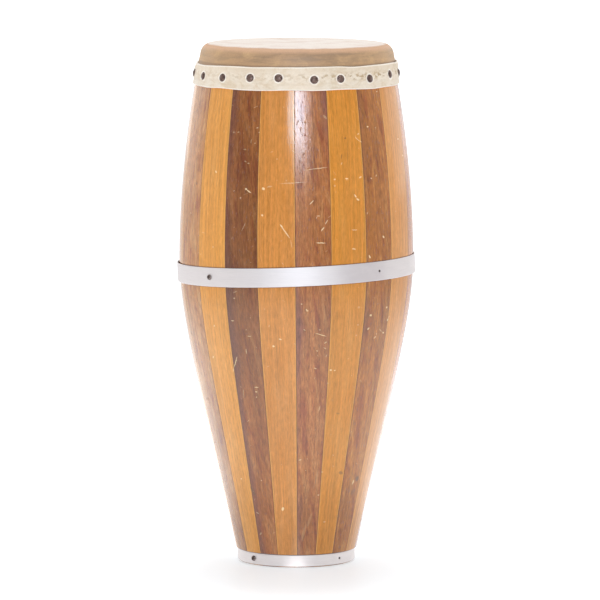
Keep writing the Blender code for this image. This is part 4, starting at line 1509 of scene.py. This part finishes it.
def makeFloor():
    half = studio["floorSize"] / 2
    mesh = bpy.data.meshes.new("studioFloor")
    mesh.from_pydata([(-half, -half, 0), (half, -half, 0), (half, half, 0), (-half, half, 0)], [], [(0, 1, 2, 3)])
    floor = bpy.data.objects.new("studioFloor", mesh)
    floor.location.z = studio["floorLevel"]
    bpy.context.scene.collection.objects.link(floor)
    made, bench, shader = startMaterial("studioFloor")
    shader.inputs["Base Color"].default_value = studio["floorColour"] + (1.0,)
    shader.inputs["Roughness"].default_value = 0.45
    shader.inputs["Specular IOR Level"].default_value = 0.25
    rays = bench.add("LightPath").outputs
    place = bench.add("TexCoord").outputs["Object"]
    away = bench.add("VectorMath", {0: place}, operation="LENGTH").outputs["Value"]
    fromShade = bench.shifted(place, (0.0, studio["shadeAhead"], 0.0))
    fromShade = bench.add("VectorMath", {0: fromShade}, operation="LENGTH").outputs["Value"]
    # for glossy rays the floor glows beyond its lamp-lit shading: a painted reflection
    farShine = bench.spread(bench.split(place)[1], -2.0, 0.0, studio["frontShine"], studio["backShine"])
    shine = bench.spread(away, 0.15, 0.45, studio["footShine"], studio["nearShine"])
    shine = bench.maths("MINIMUM", shine, bench.spread(away, 0.57, 2.2, studio["nearShine"], farShine))
    x, y, z = bench.split(place)
    streak = bench.spread(bench.maths("ABSOLUTE", x), 0.004, 0.024, studio["streakShine"], 0.0)
    streak = bench.maths("MULTIPLY", streak, bench.spread(y, -0.22, -0.14))
    streak = bench.maths("MULTIPLY", streak, bench.spread(y, -0.06, 0.0, 1.0, 0.0))
    shine = bench.maths("ADD", shine, streak)
    # the camera's glow is lower just before the drum: a painted shadow on the floor
    glow = bench.spread(fromShade, 0.08, 0.40, studio["nearGlow"], studio["farGlow"])
    glow = bench.maths("MULTIPLY", rays["Is Camera Ray"], glow)
    glow = bench.maths("ADD", glow, bench.maths("MULTIPLY", rays["Is Glossy Ray"], shine))
    shader.inputs["Emission Color"].default_value = studio["glowColour"] + (1.0,)
    bench.feed(shader.inputs["Emission Strength"], glow)
    behind = bench.add("NewGeometry").outputs["Backfacing"]
    bench.feed(shader.inputs["Alpha"], bench.maths("SUBTRACT", 1.0, behind))
    mesh.materials.append(made)


def lightStudio():
    world = bpy.data.worlds.new("studio")
    bpy.context.scene.world = world
    world.use_nodes = True
    bench = NodeBench(world.node_tree)
    rays = bench.add("LightPath").outputs
    x, y, z = bench.split(bench.add("TexCoord").outputs["Generated"])
    room = bench.spread(y, -0.45, 0.0, studio["darkRoom"], 1.0)
    room = bench.maths("MAXIMUM", room, bench.spread(z, 0.45, 0.75))
    seen = bench.maths("MAXIMUM", rays["Is Camera Ray"], rays["Is Transmission Ray"])
    seen = bench.maths("MAXIMUM", seen, bench.maths("MULTIPLY", rays["Is Glossy Ray"], room))
    diffuse = bench.maths("MULTIPLY", rays["Is Diffuse Ray"], studio["worldLight"])
    strength = bench.maths("MAXIMUM", seen, diffuse)
    background = world.node_tree.nodes["Background"]
    background.inputs["Color"].default_value = (1.0, 1.0, 1.0, 1.0)
    bench.feed(background.inputs["Strength"], strength)
    for box in lamps:
        data = bpy.data.lights.new(box["name"], "AREA")
        data.shape = "RECTANGLE"
        data.size, data.size_y = box["wide"], box["tall"]
        data.energy = box["brightness"] * math.pi * box["wide"] * box["tall"]
        data.color = box["colour"]
        lamp = bpy.data.objects.new(box["name"], data)
        lamp.location = onDrum(box["distance"], math.radians(box["azimuth"]), box["height"])
        aim = Vector(studio["aim"]) - lamp.location
        lamp.rotation_euler = aim.to_track_quat("-Z", "Y").to_euler()
        lamp.visible_camera = False
        lamp.visible_glossy = box["sees"] != "colour"
        lamp.visible_diffuse = box["sees"] != "gloss"
        bpy.context.scene.collection.objects.link(lamp)


makeFloor()
lightStudio()
bpy.context.scene.view_settings.view_transform = "Standard"
print("studio lit")
